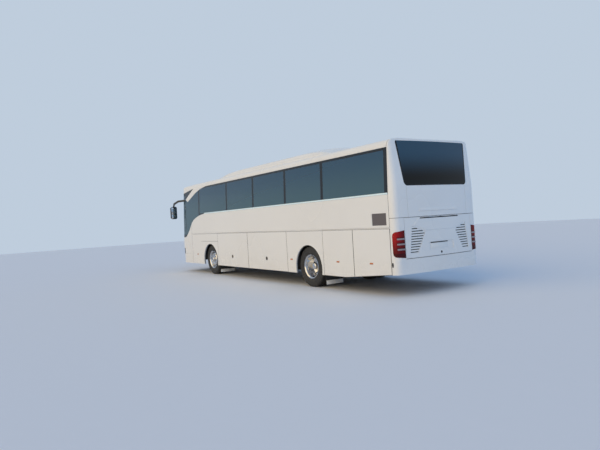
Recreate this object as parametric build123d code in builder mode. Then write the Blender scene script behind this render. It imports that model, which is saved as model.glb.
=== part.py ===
"""Two-axle touring coach, built as separate named pieces.

Frame: +X forwards, +Y to the vehicle's left, +Z up, millimetres.
Origin: on the ground, under the middle of the overall length and width.
"""

import os
from math import cos, pi

from build123d import *

os.makedirs("parts", exist_ok=True)

# Overall sizes
REAR_OVERHANG = 3270
WHEELBASE = 6080
FRONT_OVERHANG = 2790
WIDTH = 2550
HEIGHT = 3620
MIRROR_REACH = 290
LENGTH = REAR_OVERHANG + WHEELBASE + FRONT_OVERHANG
HALF = WIDTH / 2
TAIL_X = -(LENGTH + MIRROR_REACH) / 2
NOSE_X = TAIL_X + LENGTH
REAR_AXLE_X = TAIL_X + REAR_OVERHANG
FRONT_AXLE_X = NOSE_X - FRONT_OVERHANG

# Skins and gaps
WALL = 50
GLASS_BED = 12
FLAP = 40
SEAM = 6
LID_GAP = 12
TOUCH = 0.3

# Heights of the body's main lines
SKIRT_Z = 344
TAIL_SKIRT_Z = 478
FLAP_LINE_Z = 1456
REAR_SEAM_Z = 1645
SILL_Z = 2142
WINDOW_TOP_Z = 3120
ROOF_EDGE_Z = 3275
ROOF_TOP_Z = 3345
BUMPER_TOP_Z = 785
REAR_GLASS_Z = 2332
REAR_GLASS_TOP_Z = 3228
SCREEN_LOW_Z = 1310
FRONT_BUMPER_Z = 690
MASK_FLAP_TOP_Z = 1272
ARCH_SEAM_Z = 1165
FLOOR_Z = 1400
FLOOR_THICK = 50
CAB_FLOOR_Z = 900
BAY_FLOOR_Z = 400
BAY_FLOOR_THICK = 40

# Body curves
LEAN = 40
ROOF_CORNER_R = 150
REAR_BULGE = 70
REAR_CORNER_R = 150
NOSE_BULGE = 150
NOSE_CORNER_R = 280
DOME_R = 420
TAIL_TOP_R = 70

# How the nose and the tail lean: (height, how far in the plan outline stands there,
# how far it moves in for each millimetre above that height)
NOSE_LEANS = [(1100, 0, -0.05), (1100, 0, 0.11), (2200, 121, 0.15)]
TAIL_LEANS = [(785, 0, -0.03), (785, 0, 0.016), (2330, 25, 0.1)]

# Panel seams along the body
REAR_CAP_SEAM = TAIL_X + 235
REAR_FLAP_SEAM = REAR_AXLE_X - 1817
REAR_ARCH_BACK = REAR_AXLE_X - 658
REAR_ARCH_FRONT = REAR_AXLE_X + 1000
MID_DOOR_FRONT = REAR_ARCH_FRONT + 800
BAY_SEAM = REAR_AXLE_X + 3262
FRONT_ARCH_BACK = FRONT_AXLE_X - 650
FRONT_DOOR_BACK = FRONT_AXLE_X + 770
NOSE_SEAM = NOSE_X - 1165
SCREEN_SEAM = NOSE_X - 670
SKIRT_RISE_X = REAR_AXLE_X - 1500

# Posts behind the side windows
POST_WIDTH = 110
POST_PITCH = 1811.5
FIRST_POST = REAR_AXLE_X - 727
SECOND_POST = REAR_AXLE_X + 968
POSTS = [FIRST_POST, SECOND_POST, SECOND_POST + POST_PITCH, SECOND_POST + 2 * POST_PITCH,
         FRONT_DOOR_BACK + POST_WIDTH / 2]
FRAME_WIDTH = 50

# Running gear: the wheels have flat sides, as many as keep their meshes small
ROUND_SIDES = 48
HUB_SIDES = 24
BELLOWS_SIDES = 16
TYRE_R = 520
TYRE_WIDTH = 292
TREAD_HALF = 105
SHOULDER = 25
SHOULDER_DROP = 14
SIDEWALL_RISE = 112
BEAD_HALF = 112
RIM_R = 288
BEAD_R = RIM_R + TOUCH
ARCH_R = 590
ARCH_Z = 487
FRONT_WHEEL_Y = 1050
REAR_WHEEL_Y = 1068
TWIN_PITCH = 332
KINGPIN_Y = 885
HOUSING_REACH = 628
HOUSING_SKIN = 8
FRONT_HOUSING_Y = 470
REAR_HOUSING_Y = 540
HOUSING_TOP_Z = 1130
AXLE_NOTCH = 110
RAIL_Y = 400
RAIL_WIDTH = 90
RAIL_Z = 680
RAIL_HEIGHT = 160

# Doors, lamps and lid
DOOR_TOP_Z = 2620
DOOR_FRAME = 70
FRONT_DOOR_GLASS_Z = 1330
MID_DOOR_GLASS_Z = 1330
LID_HALF = 1027
LAMP_INNER_Y = 1042
LAMP_LOW_Z = 812
LAMP_HIGH_Z = 1378
LAMP_FRONT_X = TAIL_X + 175
LAMP_CORNER_R = 60
MASK_FLAP_HALF = 640
HEADLAMP_REACH = 420
PANEL_HALF = 907
SCREEN_SEAM_TOP_Z = 2000
FLANGE_BED = 30
RUNNING = 0.5
BARREL_R = 7
BARREL_LONG = 80
HINGE_YS = (-400, 0, 400)
GRILLE_BACK = REAR_CAP_SEAM + 85
GRILLE_FRONT = GRILLE_BACK + 445
GRILLE_LOW_Z = 1505
GRILLE_HIGH_Z = 1760
HEADLAMP_INNER_Y = 700
HEADLAMP_TOP_Z = 900

# Engine lid: louvres at both sides, the recess for the plate and the air slot; the panel's brow above it
LOUVRE_OUTLINE = [(464, 1332), (830, 1465), (909, 904), (708, 874)]
LOUVRE_LOW_Z = 871
BLADES = 11
BLADE_PITCH = 54
BLADE_HIGH = 48
BLADE_THICK = 5
BLADE_LEAN = 0.33
PLATE_HALF = 380
PLATE_LOW_Z = 915
PLATE_HIGH_Z = 1095
PLATE_CORNER_R = 20
SLOT_HALF = 600
SLOT_DROP = 14
SLOT_HIGH = 22
SLOT_DEEP = 30
BROW_LOW_Z = 1765
BROW_HIGH_Z = 1835
BROW_TAPER = 60
BROW_PROUD = 12
BROW_LEAN = 0.2

# Roof fittings
FAIRING_BACK = REAR_AXLE_X - 1050
FAIRING_FRONT = NOSE_X - 3150
FAIRING_TOP_X = FAIRING_BACK + 4200
FAIRING_END_DROP = 290
HATCH = 720
HATCH_REAR_X = REAR_AXLE_X - 2050
HATCH_FRONT_X = NOSE_X - 2220

# Inside
STAIR_INNER_Y = 560
STAIR_WALL = 20
STEPS = 3
STEP_RUN = 160
STEP_RISE = 240
BULKHEAD = 12
DUCT = 65
DUCT_HIGH = 120
CAB_HALF = 1130
CAB_FRONT_X = NOSE_X - 390
DASH_X = NOSE_X - 730
DRIVER_X = NOSE_X - 1720
SEAT_INNER_Y = 240
SEAT_OUTER_Y = 1150
SEAT_PITCH = 780
SEAT_FRONT_X = FRONT_AXLE_X - 30
SEAT_BACK_ROOM = 300
SEAT_ROWS = int((SEAT_FRONT_X - REAR_CAP_SEAM - SEAT_BACK_ROOM) / SEAT_PITCH) + 1
ENGINE_HALF = 340

# Axles and steering
SPRING_X = 290
SPRING_Y = 345
SPRING_R = 100
SPRING_WAIST = 14
SPRING_ARM = 40
REAR_TUBE_Y = 560
REAR_HUB_Y = 1000
REAR_STUB_R = 50
BOSS_R = 48
KINGPIN_R = 22
BOSS_HALF = 75
FORK_HALF = 120
LOOSE = 6
FORK_FACE_Y = 965
SPINDLE_R = 45
SPINDLE_END_Y = 1130
RIM_HALF = 133
FLANGE = 12
FLANGE_HIGH = 24
BARREL = 14
DISC_EDGE_R = 280
HUB_R = 110
HAND_HOLES = 10
HAND_HOLE_R = 24
HAND_HOLE_CIRCLE = 226
MUDFLAP = 8
MUDFLAP_LOW_Z = 100

# Mirrors
MIRROR_DEEP = 170
MIRROR_WIDE = 240
MIRROR_Y = HALF + 175
MIRROR_LOW_Z = 2050
MIRROR_HIGH_Z = 2540
MIRROR_CORNER_R = 60
MIRROR_TAPER = 9
MIRROR_BACK_X = NOSE_X + MIRROR_REACH - MIRROR_DEEP
MIRROR_PATH = [(NOSE_X - 640, HALF - 75, 2735), (NOSE_X - 250, HALF + 115, 2725),
               (MIRROR_BACK_X - 60, MIRROR_Y, MIRROR_HIGH_Z + 100), (MIRROR_BACK_X + 50, MIRROR_Y, MIRROR_HIGH_Z - 60)]

FAR = 9000
DEEP = 1000


# Helpers

def block(x0, x1, y0, y1, z0, z1):
    """A box given by its limits."""
    with BuildPart() as made:
        with Locations(((x0 + x1) / 2, (y0 + y1) / 2, (z0 + z1) / 2)):
            Box(x1 - x0, y1 - y0, z1 - z0)
    return made.part


def across(face, y0=-HALF - 100, y1=HALF + 100):
    """A side-view face (x, z) pulled across the vehicle from y0 to y1."""
    with BuildPart() as made:
        with BuildSketch(Plane.XZ.offset(-y1)):
            add(face)
        extrude(amount=y1 - y0)
    return made.part


def side_face(points):
    """A closed side-view face through straight corners given as (x, z)."""
    with BuildSketch() as face:
        with BuildLine():
            Polyline(*points, close=True)
        make_face()
    return face.sketch


def both(shape):
    """A shape and its mirror image on the other side of the vehicle."""
    with BuildPart() as pair:
        add(shape)
        mirror(about=Plane.XZ)
    return pair.part


def mirrored(shape):
    """The shape's mirror image on the other side of the vehicle."""
    return mirror(shape, about=Plane.XZ)


def common(shape, *regions):
    """What the shape shares with every region."""
    with BuildPart() as kept:
        add(shape)
        for region in regions:
            add(region, mode=Mode.INTERSECT)
    return kept.part


def less(shape, *cuts):
    """The shape with every cut taken out."""
    with BuildPart() as kept:
        add(shape)
        for cut in cuts:
            add(cut, mode=Mode.SUBTRACT)
    return kept.part


def turned(sections, sides):
    """A body about the Y axis with flat sides, through sections given as (y, distance to the flats)."""
    turns = [360 * (side + 0.5) / sides for side in range(sides)]
    rings = [
        [Vector(radius / cos(pi / sides), y, 0).rotate(Axis.Y, turn) for turn in turns]
        for y, radius in sections
    ]
    faces = [Face(Wire.make_polygon(ring)) for ring in (rings[0], rings[-1])]
    for low, high in zip(rings, rings[1:]):
        for side in range(sides):
            faces.append(Face(Wire.make_polygon([low[side - 1], low[side], high[side], high[side - 1]])))
    return Solid(Shell(faces))


def write(shape, label):
    """Labels a finished piece and writes its file."""
    shape.label = label
    export_step(shape, f"parts/{label}.step")


# Body outside, made from a cross-section, leaning plan outlines and a side outline

def section_face(inset):
    """Cross-section: upright sides, leaning window band, crowned roof."""
    with BuildSketch() as face:
        with BuildLine():
            crown = ThreePointArc((HALF - LEAN - 6, ROOF_EDGE_Z), (0, ROOF_TOP_Z), (-HALF + LEAN + 6, ROOF_EDGE_Z))
            Polyline(crown @ 1, (-HALF, SILL_Z), (-HALF, -FAR), (HALF, -FAR), (HALF, SILL_Z), crown @ 0)
        make_face()
        fillet(face.vertices().filter_by_position(Axis.Y, ROOF_EDGE_Z - 1, ROOF_EDGE_Z + 1), ROOF_CORNER_R)
        if inset:
            offset(amount=-inset, kind=Kind.INTERSECTION)
    return face.sketch


def end_plan(bulge, corner, inset):
    """Plan outline of one end: its tip at x = 0, its bulge and round corners, reaching far back from them."""
    with BuildSketch() as face:
        with BuildLine():
            end = ThreePointArc((-bulge, HALF), (0, 0), (-bulge, -HALF))
            Polyline(end @ 1, (-2 * FAR, -HALF), (-2 * FAR, HALF), end @ 0)
        make_face()
        fillet(face.vertices().filter_by_position(Axis.X, -FAR, 0), corner)
        if inset:
            offset(amount=-inset, kind=Kind.INTERSECTION)
    return face.sketch


def tail_plan(inset):
    """Plan outline of the tail."""
    return end_plan(REAR_BULGE, REAR_CORNER_R, inset)


def roof_outline(inset):
    """Side outline that rounds the roof down at both ends."""
    with BuildSketch() as face:
        with BuildLine():
            Polyline(
                (TAIL_X - 300, -FAR),
                (TAIL_X - 60, 2200),
                (TAIL_X + 112, 3300),
                (TAIL_X + 1600, ROOF_TOP_Z + 1),
                (NOSE_X - 2300, ROOF_TOP_Z + 1),
                (NOSE_X - 278, 3225),
                (NOSE_X + 60, 1100),
                (NOSE_X + 300, -FAR),
                close=True,
            )
        make_face()
        fillet(face.vertices().filter_by_position(Axis.Y, 3224, 3226), DOME_R)
        fillet(face.vertices().filter_by_position(Axis.Y, 3299, 3301), TAIL_TOP_R)
        if inset:
            offset(amount=-inset, kind=Kind.INTERSECTION)
    return face.sketch


def leaning(plan, facing, height, stand_in, slope):
    """An end's plan outline pulled up and down along its leaning line; facing is +1 at the nose, -1 at the tail."""
    tip_x = NOSE_X if facing > 0 else TAIL_X
    tilted = Plane(origin=(tip_x - facing * stand_in, 0, height), x_dir=(facing, 0, slope), z_dir=(-facing * slope, 0, 1))
    with BuildPart() as prism:
        with BuildSketch(tilted):
            add(plan)
        extrude(amount=FAR, both=True)
    return prism.part


def envelope(inset):
    """The body's outside moved in by inset, with no underside."""
    tail, nose = tail_plan(inset), end_plan(NOSE_BULGE, NOSE_CORNER_R, inset)
    with BuildPart() as body:
        with BuildSketch(Plane.YZ.offset(TAIL_X - DEEP)):
            add(section_face(inset))
        extrude(amount=LENGTH + 2 * DEEP)
        for row in TAIL_LEANS:
            add(leaning(tail, -1, *row), mode=Mode.INTERSECT)
        for row in NOSE_LEANS:
            add(leaning(nose, 1, *row), mode=Mode.INTERSECT)
        add(across(roof_outline(inset)), mode=Mode.INTERSECT)
    return body.part


OUTER = envelope(0)
BED = envelope(GLASS_BED)
INNER = envelope(WALL)

above_skirt = across(side_face([
    (-FAR, TAIL_SKIRT_Z),
    (TAIL_X + 300, TAIL_SKIRT_Z - 10),
    (SKIRT_RISE_X, SKIRT_Z),
    (FAR, SKIRT_Z),
    (FAR, FAR),
    (-FAR, FAR),
]))
SHELL = common(less(OUTER, INNER), above_skirt)

# Regions seen from the side

def ahead(x0, x1, z0, z1, gap=SEAM / 2):
    """A full-width box between two seams and two heights, less half a seam on each side."""
    return block(x0 + gap, x1 - gap, -HALF - 100, HALF + 100, z0 + gap, z1 - gap)


# Side outlines near the nose, as (distance behind the nose, z)
SILL_SWEEP = [(2370, SILL_Z), (1470, SILL_Z - 167), (1120, SILL_Z - 392), (690, SCREEN_LOW_Z + 80), (390, SCREEN_LOW_Z + 2)]
SWEEP_START = (1, -0.04)
PILLAR = [(2620, WINDOW_TOP_Z + 1), (2110, 3060), (1610, 2935), (1230, 2790), (870, 2660),
          (680, 2755), (950, 2890), (1180, 2990), (1470, WINDOW_TOP_Z + 1)]
SCREEN_SIDE = [(1540, WINDOW_TOP_Z + 10), (1180, 2970), (950, 2870), (680, 2735), (670, 2660), (670, 1000),
               (-FAR, 1000), (-FAR, FAR), (1540, FAR)]
FRONT_OPENING = [(1520, 2010), (1180, 1875), (-FAR, 1875), (-FAR, FAR)]
DOME_EDGE = [(1470, WINDOW_TOP_Z), (680, 3030), (430, 2995), (-FAR, 2985)]


def from_nose(points):
    """Side-view points (distance behind the nose, z) as (x, z)."""
    return [(NOSE_X - back, z) for back, z in points]


def glass_band(shrink):
    """Side view of all the glass: window band, sweep of the sill and the wrapped screen."""
    low, back = SILL_Z + shrink, REAR_CAP_SEAM + shrink
    sweep = [(x + shrink * 0.6, z + shrink * 0.8) for x, z in from_nose(SILL_SWEEP)]
    with BuildSketch() as face:
        with BuildLine():
            heading = SWEEP_START
            for start, end in zip(sweep, sweep[1:]):
                heading = TangentArc(start, end, tangent=heading) % 1
            Polyline(
                sweep[-1],
                (NOSE_X - 170, SCREEN_LOW_Z + shrink),
                (FAR, SCREEN_LOW_Z + shrink),
                (FAR, WINDOW_TOP_Z - shrink),
                (back, WINDOW_TOP_Z - shrink),
                (back, low),
                sweep[0],
            )
        make_face()
    return face.sketch


def pillar_face(grow):
    """Side view of the white band that sweeps from the roof down to the mirror."""
    with BuildSketch() as face:
        with BuildLine():
            Polyline(*from_nose(PILLAR), close=True)
        make_face()
        if grow:
            offset(amount=grow, kind=Kind.INTERSECTION)
    return face.sketch


glass_area = across(glass_band(0))
glass_pane_area = across(glass_band(SEAM / 2))
pillar_area = across(pillar_face(0))
pillar_clear = across(pillar_face(SEAM))


def dome_face(lower):
    """Side view of the front dome above the screen, its edge moved down by lower."""
    edge = [(x, z - lower) for x, z in from_nose(DOME_EDGE)]
    return side_face([(NOSE_X - 2200, WINDOW_TOP_Z)] + edge + [(NOSE_X + FAR, FAR), (NOSE_X - 2200, FAR)])


dome_area = across(dome_face(0))
dome_clear = across(dome_face(SEAM))
above_windows = block(-FAR, FAR, -FAR, FAR, WINDOW_TOP_Z, FAR)
right_side = block(-FAR, FAR, -FAR, 0, -FAR, FAR)
left_side = block(-FAR, FAR, 0, FAR, -FAR, FAR)
inner_skin = common(SHELL, BED)
glass_layer = less(OUTER, BED)


def slab(x, y, z, low, high):
    """A thin plate on a seam: one of x, y, z is given, and the plate covers low to high."""
    half = SEAM / 2
    limits = [[a, b] for a, b in zip(low, high)]
    for axis, at in enumerate((x, y, z)):
        if at is not None:
            limits[axis] = [at - half, at + half]
    return block(*limits[0], *limits[1], *limits[2])


# Seams between fixed panels: grooves as deep as the glass bed, with the panels touching below them
with BuildPart() as seams:
    add(slab(REAR_CAP_SEAM, None, None, (0, -FAR, 0), (0, FAR, FAR)))
    add(slab(NOSE_SEAM, None, None, (0, -FAR, 0), (0, FAR, SCREEN_SEAM_TOP_Z)))
    add(slab(None, None, FLAP_LINE_Z, (REAR_CAP_SEAM, -FAR, 0), (NOSE_SEAM, FAR, 0)))
    add(slab(None, None, REAR_SEAM_Z, (-FAR, -FAR, 0), (REAR_CAP_SEAM, FAR, 0)))
    add(slab(None, None, FRONT_BUMPER_Z, (NOSE_SEAM, -FAR, 0), (FAR, FAR, 0)))
    add(slab(None, None, ARCH_SEAM_Z, (FRONT_ARCH_BACK, -FAR, 0), (FRONT_DOOR_BACK, FAR, 0)))
    add(slab(FRONT_DOOR_BACK, None, None, (0, -FAR, 0), (0, 0, DOOR_TOP_Z)))
    add(slab(REAR_ARCH_FRONT, None, None, (0, -FAR, 0), (0, 0, SILL_Z)))
    add(slab(MID_DOOR_FRONT, None, None, (0, -FAR, 0), (0, 0, SILL_Z)))
    for side in (-1, 1):
        add(slab(None, side * PANEL_HALF, None, (-FAR, 0, REAR_SEAM_Z), (REAR_CAP_SEAM, 0, REAR_GLASS_Z)))
    add(BED, mode=Mode.SUBTRACT)

# Roof with its front dome and the two swept pillars, each with a bed behind the glass edge
roof_area = block(REAR_CAP_SEAM, FAR, -FAR, FAR, 0, FAR)
with BuildPart() as roof:
    for skin, dome, pillar in (
        (SHELL, dome_area, pillar_area),
        (inner_skin, across(dome_face(FLANGE_BED)), across(pillar_face(FLANGE_BED))),
    ):
        add(common(skin, above_windows, roof_area))
        add(common(skin, dome))
        add(common(skin, pillar))
    add(seams.part, mode=Mode.SUBTRACT)
write(roof.part, "roof")

# Side walls from the flap line to the roof, with the posts behind the glass
hinge_y = HALF - FLAP / 2
hinge_z = FLAP_LINE_Z - SEAM - FLAP / 2
front_door_hole = common(ahead(FRONT_DOOR_BACK, NOSE_SEAM, 0, DOOR_TOP_Z, 0), right_side)
mid_door_hole = common(ahead(REAR_ARCH_FRONT, MID_DOOR_FRONT, 0, SILL_Z, 0), right_side)
with BuildPart() as hinge_rail:
    for back, front in ((REAR_CAP_SEAM, REAR_ARCH_BACK), (REAR_ARCH_FRONT, FRONT_ARCH_BACK)):
        add(block(back, front, HALF - WALL, hinge_y, hinge_z, FLAP_LINE_Z))
        with Locations(Location(((back + front) / 2, hinge_y, hinge_z), (0, 90, 0))):
            Cylinder(FLAP / 2 + RUNNING, front - back + 10, mode=Mode.SUBTRACT)
    mirror(about=Plane.XZ)
    add(mid_door_hole, mode=Mode.SUBTRACT)
grille_hole = ahead(GRILLE_BACK, GRILLE_FRONT, GRILLE_LOW_Z, GRILLE_HIGH_Z, 0)
cab_window_x = POSTS[-1] + POST_WIDTH / 2
with BuildPart() as wall_pair:
    add(common(SHELL, ahead(REAR_CAP_SEAM, NOSE_SEAM, FLAP_LINE_Z, WINDOW_TOP_Z, 0)))
    add(common(glass_layer, glass_area), mode=Mode.SUBTRACT)
    add(across(pillar_face(FLANGE_BED)), mode=Mode.SUBTRACT)
    for back, front in zip([REAR_CAP_SEAM + FRAME_WIDTH] + POSTS, POSTS):
        add(ahead(back, front, SILL_Z, WINDOW_TOP_Z, POST_WIDTH / 2), mode=Mode.SUBTRACT)
    add(across(side_face([(cab_window_x, FAR), (cab_window_x, SILL_Z + 8)] + from_nose(FRONT_OPENING))), mode=Mode.SUBTRACT)
    add(grille_hole, mode=Mode.SUBTRACT)
    add(seams.part, mode=Mode.SUBTRACT)
    add(hinge_rail.part)
side_wall_left = common(wall_pair.part, left_side)
side_wall_right = less(common(wall_pair.part, right_side), front_door_hole, mid_door_hole)
write(side_wall_left, "side_wall_left")
write(side_wall_right, "side_wall_right")

grille_plate = block(GRILLE_BACK, GRILLE_FRONT, HALF - 16, HALF - 8, GRILLE_LOW_Z, GRILLE_HIGH_Z)
write(both(grille_plate), "intake_grilles")

# Glass panes: side windows, and the screen that wraps into both sides
glass_skin = common(glass_layer, glass_pane_area, block(REAR_CAP_SEAM, FAR, -FAR, FAR, 0, FAR))
screen_side = across(side_face(from_nose(SCREEN_SIDE)))
front_door_room = common(ahead(FRONT_DOOR_BACK, NOSE_SEAM, 0, DOOR_TOP_Z, -SEAM / 2), right_side)
with BuildPart() as side_glass:
    for back, front in zip([REAR_CAP_SEAM] + POSTS, POSTS + [SCREEN_SEAM]):
        pane = common(glass_skin, ahead(back, front, 0, FAR))
        add(less(pane, pillar_clear, screen_side, front_door_room))
write(side_glass.part, "side_glass")

with BuildPart() as windscreen:
    add(common(glass_skin, screen_side))
    add(dome_clear, mode=Mode.SUBTRACT)
    add(pillar_clear, mode=Mode.SUBTRACT)
write(windscreen.part, "windscreen")


# Doors on the right side, each with its bonded pane
def door(hole, glass_low, glass_high):
    """A door leaf cut from the skin, and the pane bonded to it."""
    size = hole.bounding_box()
    x0, x1 = size.min.X + SEAM, size.max.X - SEAM
    opening = block(x0 + DOOR_FRAME, x1 - DOOR_FRAME, -FAR, 0, glass_low + DOOR_FRAME, glass_high - DOOR_FRAME)
    layer = common(glass_layer, block(x0, x1, -FAR, 0, glass_low, glass_high))
    return less(common(SHELL, hole), layer, opening, seams.part), layer


front_door, front_door_pane = door(front_door_hole, FRONT_DOOR_GLASS_Z, DOOR_TOP_Z - SEAM)
mid_door, mid_door_pane = door(mid_door_hole, MID_DOOR_GLASS_Z, SILL_Z - 60)
write(front_door, "front_door")
write(mid_door, "mid_door")
with BuildPart() as door_glass:
    add(front_door_pane)
    add(mid_door_pane)
write(door_glass.part, "door_glass")

# Skirt panels with the wheel arches
with BuildPart() as arch_cut:
    for axle_x in (REAR_AXLE_X, FRONT_AXLE_X):
        with Locations(Location((axle_x, 0, ARCH_Z), (90, 0, 0))):
            Cylinder(ARCH_R, WIDTH + 200)
with BuildPart() as arch_panels:
    for back, front in ((REAR_ARCH_BACK + SEAM / 2, REAR_ARCH_FRONT - SEAM / 2),
                        (FRONT_ARCH_BACK + SEAM / 2, NOSE_SEAM)):
        add(common(SHELL, ahead(back, front, 0, FLAP_LINE_Z, 0)))
    add(arch_cut.part, mode=Mode.SUBTRACT)
    add(front_door_hole, mode=Mode.SUBTRACT)
    add(seams.part, mode=Mode.SUBTRACT)
write(arch_panels.part, "arch_panels")


# Flaps on both sides: a flat panel whose round top edge turns in its hinge rail
def side_flap(back, front):
    """A left-hand flap between two seams."""
    with BuildPart() as flap:
        with BuildSketch(Plane.YZ.offset(back + SEAM / 2)):
            with Locations((hinge_y, (hinge_z + SKIRT_Z) / 2)):
                Rectangle(FLAP, hinge_z - SKIRT_Z)
            with Locations((hinge_y, hinge_z)):
                Circle(FLAP / 2)
        extrude(amount=front - back - SEAM)
        add(above_skirt, mode=Mode.INTERSECT)
    return flap.part


for label, back, front in (
    ("rear_service_flap", REAR_CAP_SEAM + SEAM / 2, REAR_FLAP_SEAM),
    ("middle_service_flap", REAR_FLAP_SEAM, REAR_ARCH_BACK),
    ("front_bay_flap", BAY_SEAM, FRONT_ARCH_BACK),
):
    flap = side_flap(back, front)
    write(flap, label + "_left")
    write(mirrored(flap), label + "_right")
write(side_flap(REAR_ARCH_FRONT, BAY_SEAM), "rear_bay_flap_left")
write(mirrored(side_flap(MID_DOOR_FRONT + SEAM / 2, BAY_SEAM)), "rear_bay_flap_right")


# Hinges of the engine lid and the nose flap: short barrels on an axis along Y
def barrels(x, z, offset, radius, back_x):
    """Barrels on the hinge line, each with a web that runs in to back_x."""
    with BuildPart() as made:
        for y in HINGE_YS:
            mid = y + offset * (BARREL_LONG + RUNNING) / 2
            with Locations(Location((x, mid, z), (90, 0, 0))):
                Cylinder(radius, BARREL_LONG)
            if back_x is not None:
                add(block(min(x, back_x), max(x, back_x), mid - BARREL_LONG / 2, mid + BARREL_LONG / 2,
                          z - radius, z + radius))
    return made.part


# Tail: cap with the window, fixed panel, engine lid, bumper with the corners, lamps
tail_skin = common(SHELL, block(-FAR, REAR_CAP_SEAM, -FAR, FAR, 0, FAR))


def tail_area(half_low, half_high, low, high, round_off=0):
    """A region seen from behind, pulled through the tail."""
    with BuildPart() as area:
        with BuildSketch(Plane.YZ.offset(TAIL_X - 100)) as face:
            with BuildLine():
                Polyline((-half_low, low), (half_low, low), (half_high, high), (-half_high, high), close=True)
            make_face()
            if round_off:
                fillet(face.vertices(), round_off)
        extrude(amount=600)
    return area.part


window_bed = tail_area(950, 1040, REAR_GLASS_Z, REAR_GLASS_TOP_Z, 90)
window_pane = tail_area(946, 1036, REAR_GLASS_Z + 4, REAR_GLASS_TOP_Z - 4, 86)
window_hole = tail_area(900, 980, REAR_GLASS_Z + 55, REAR_GLASS_TOP_Z - 55, 60)
panel_area = tail_area(PANEL_HALF, PANEL_HALF, REAR_SEAM_Z, REAR_GLASS_Z - SEAM)
lean_z, _, tail_slope = TAIL_LEANS[1]
lid_x = TAIL_X + tail_slope * (REAR_SEAM_Z - lean_z)
lid_top_z = REAR_SEAM_Z - SEAM
lid_area = tail_area(LID_HALF, LID_HALF, BUMPER_TOP_Z + LID_GAP, lid_top_z)
lid_hole = tail_area(LID_HALF + SEAM, LID_HALF + SEAM, BUMPER_TOP_Z, REAR_SEAM_Z)

with BuildPart() as rear_cap:
    add(common(tail_skin, block(-FAR, 0, -FAR, FAR, REAR_SEAM_Z, FAR)))
    add(common(glass_layer, window_bed), mode=Mode.SUBTRACT)
    add(window_hole, mode=Mode.SUBTRACT)
    add(panel_area, mode=Mode.SUBTRACT)
    add(seams.part, mode=Mode.SUBTRACT)
write(rear_cap.part, "rear_cap")
write(common(glass_layer, window_pane), "rear_window")


def tilted_skin(low_z, high_z, slope, proud, thick):
    """A tail skin between two heights that tilts inwards as it rises, proud of the tail at its lower edge."""
    stand_in = tail_slope * (low_z - lean_z) - proud
    outside, inside = (leaning(tail_plan(inset), -1, low_z, stand_in, slope) for inset in (0, thick))
    return less(common(outside, block(TAIL_X - DEEP, 0, -HALF, HALF, low_z, high_z)), inside)


brow = common(
    tilted_skin(BROW_LOW_Z, BROW_HIGH_Z, BROW_LEAN, BROW_PROUD, WALL),
    tail_area(SLOT_HALF, SLOT_HALF - BROW_TAPER, BROW_LOW_Z, BROW_HIGH_Z),
)
with BuildPart() as rear_panel:
    add(common(tail_skin, panel_area))
    add(brow)
    add(seams.part, mode=Mode.SUBTRACT)
    add(barrels(lid_x, lid_top_z, 1, BARREL_R + SEAM, lid_x + WALL), mode=Mode.SUBTRACT)
    add(barrels(lid_x, lid_top_z, -1, BARREL_R, None))
    for y in HINGE_YS:
        mid = y - (BARREL_LONG + RUNNING) / 2
        add(block(lid_x, lid_x + 20, mid - BARREL_LONG / 2, mid + BARREL_LONG / 2, lid_top_z, REAR_SEAM_Z + 20))
write(rear_panel.part, "rear_panel")

# Louvres: the opening on each side is closed by blades that lean in as they rise, with an air gap above each
with BuildPart() as louvre_area:
    with BuildSketch(Plane.YZ.offset(TAIL_X - DEEP)):
        with BuildLine():
            Polyline(*LOUVRE_OUTLINE, close=True)
        make_face()
        mirror(about=Plane.YZ)
    extrude(amount=2 * DEEP)
first_blade = tilted_skin(LOUVRE_LOW_Z, LOUVRE_LOW_Z + BLADE_HIGH, BLADE_LEAN, 0, BLADE_THICK)
with BuildPart() as blades:
    for row in range(BLADES):
        rise = row * BLADE_PITCH
        add(common(Pos(tail_slope * rise, 0, rise) * first_blade, louvre_area.part))

plate_recess = common(glass_layer, tail_area(PLATE_HALF, PLATE_HALF, PLATE_LOW_Z, PLATE_HIGH_Z, PLATE_CORNER_R))
air_slot = block(TAIL_X - DEEP, lid_x + SLOT_DEEP, -SLOT_HALF, SLOT_HALF,
                 lid_top_z - SLOT_DROP - SLOT_HIGH, lid_top_z - SLOT_DROP)
with BuildPart() as engine_lid:
    add(common(tail_skin, lid_area))
    add(barrels(lid_x, lid_top_z, -1, BARREL_R + SEAM, lid_x + WALL), mode=Mode.SUBTRACT)
    add(barrels(lid_x, lid_top_z, 1, BARREL_R, lid_x + 20))
    add(louvre_area.part, mode=Mode.SUBTRACT)
    add(plate_recess, mode=Mode.SUBTRACT)
    add(air_slot, mode=Mode.SUBTRACT)
    add(blades.part)
write(engine_lid.part, "engine_lid")


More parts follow.
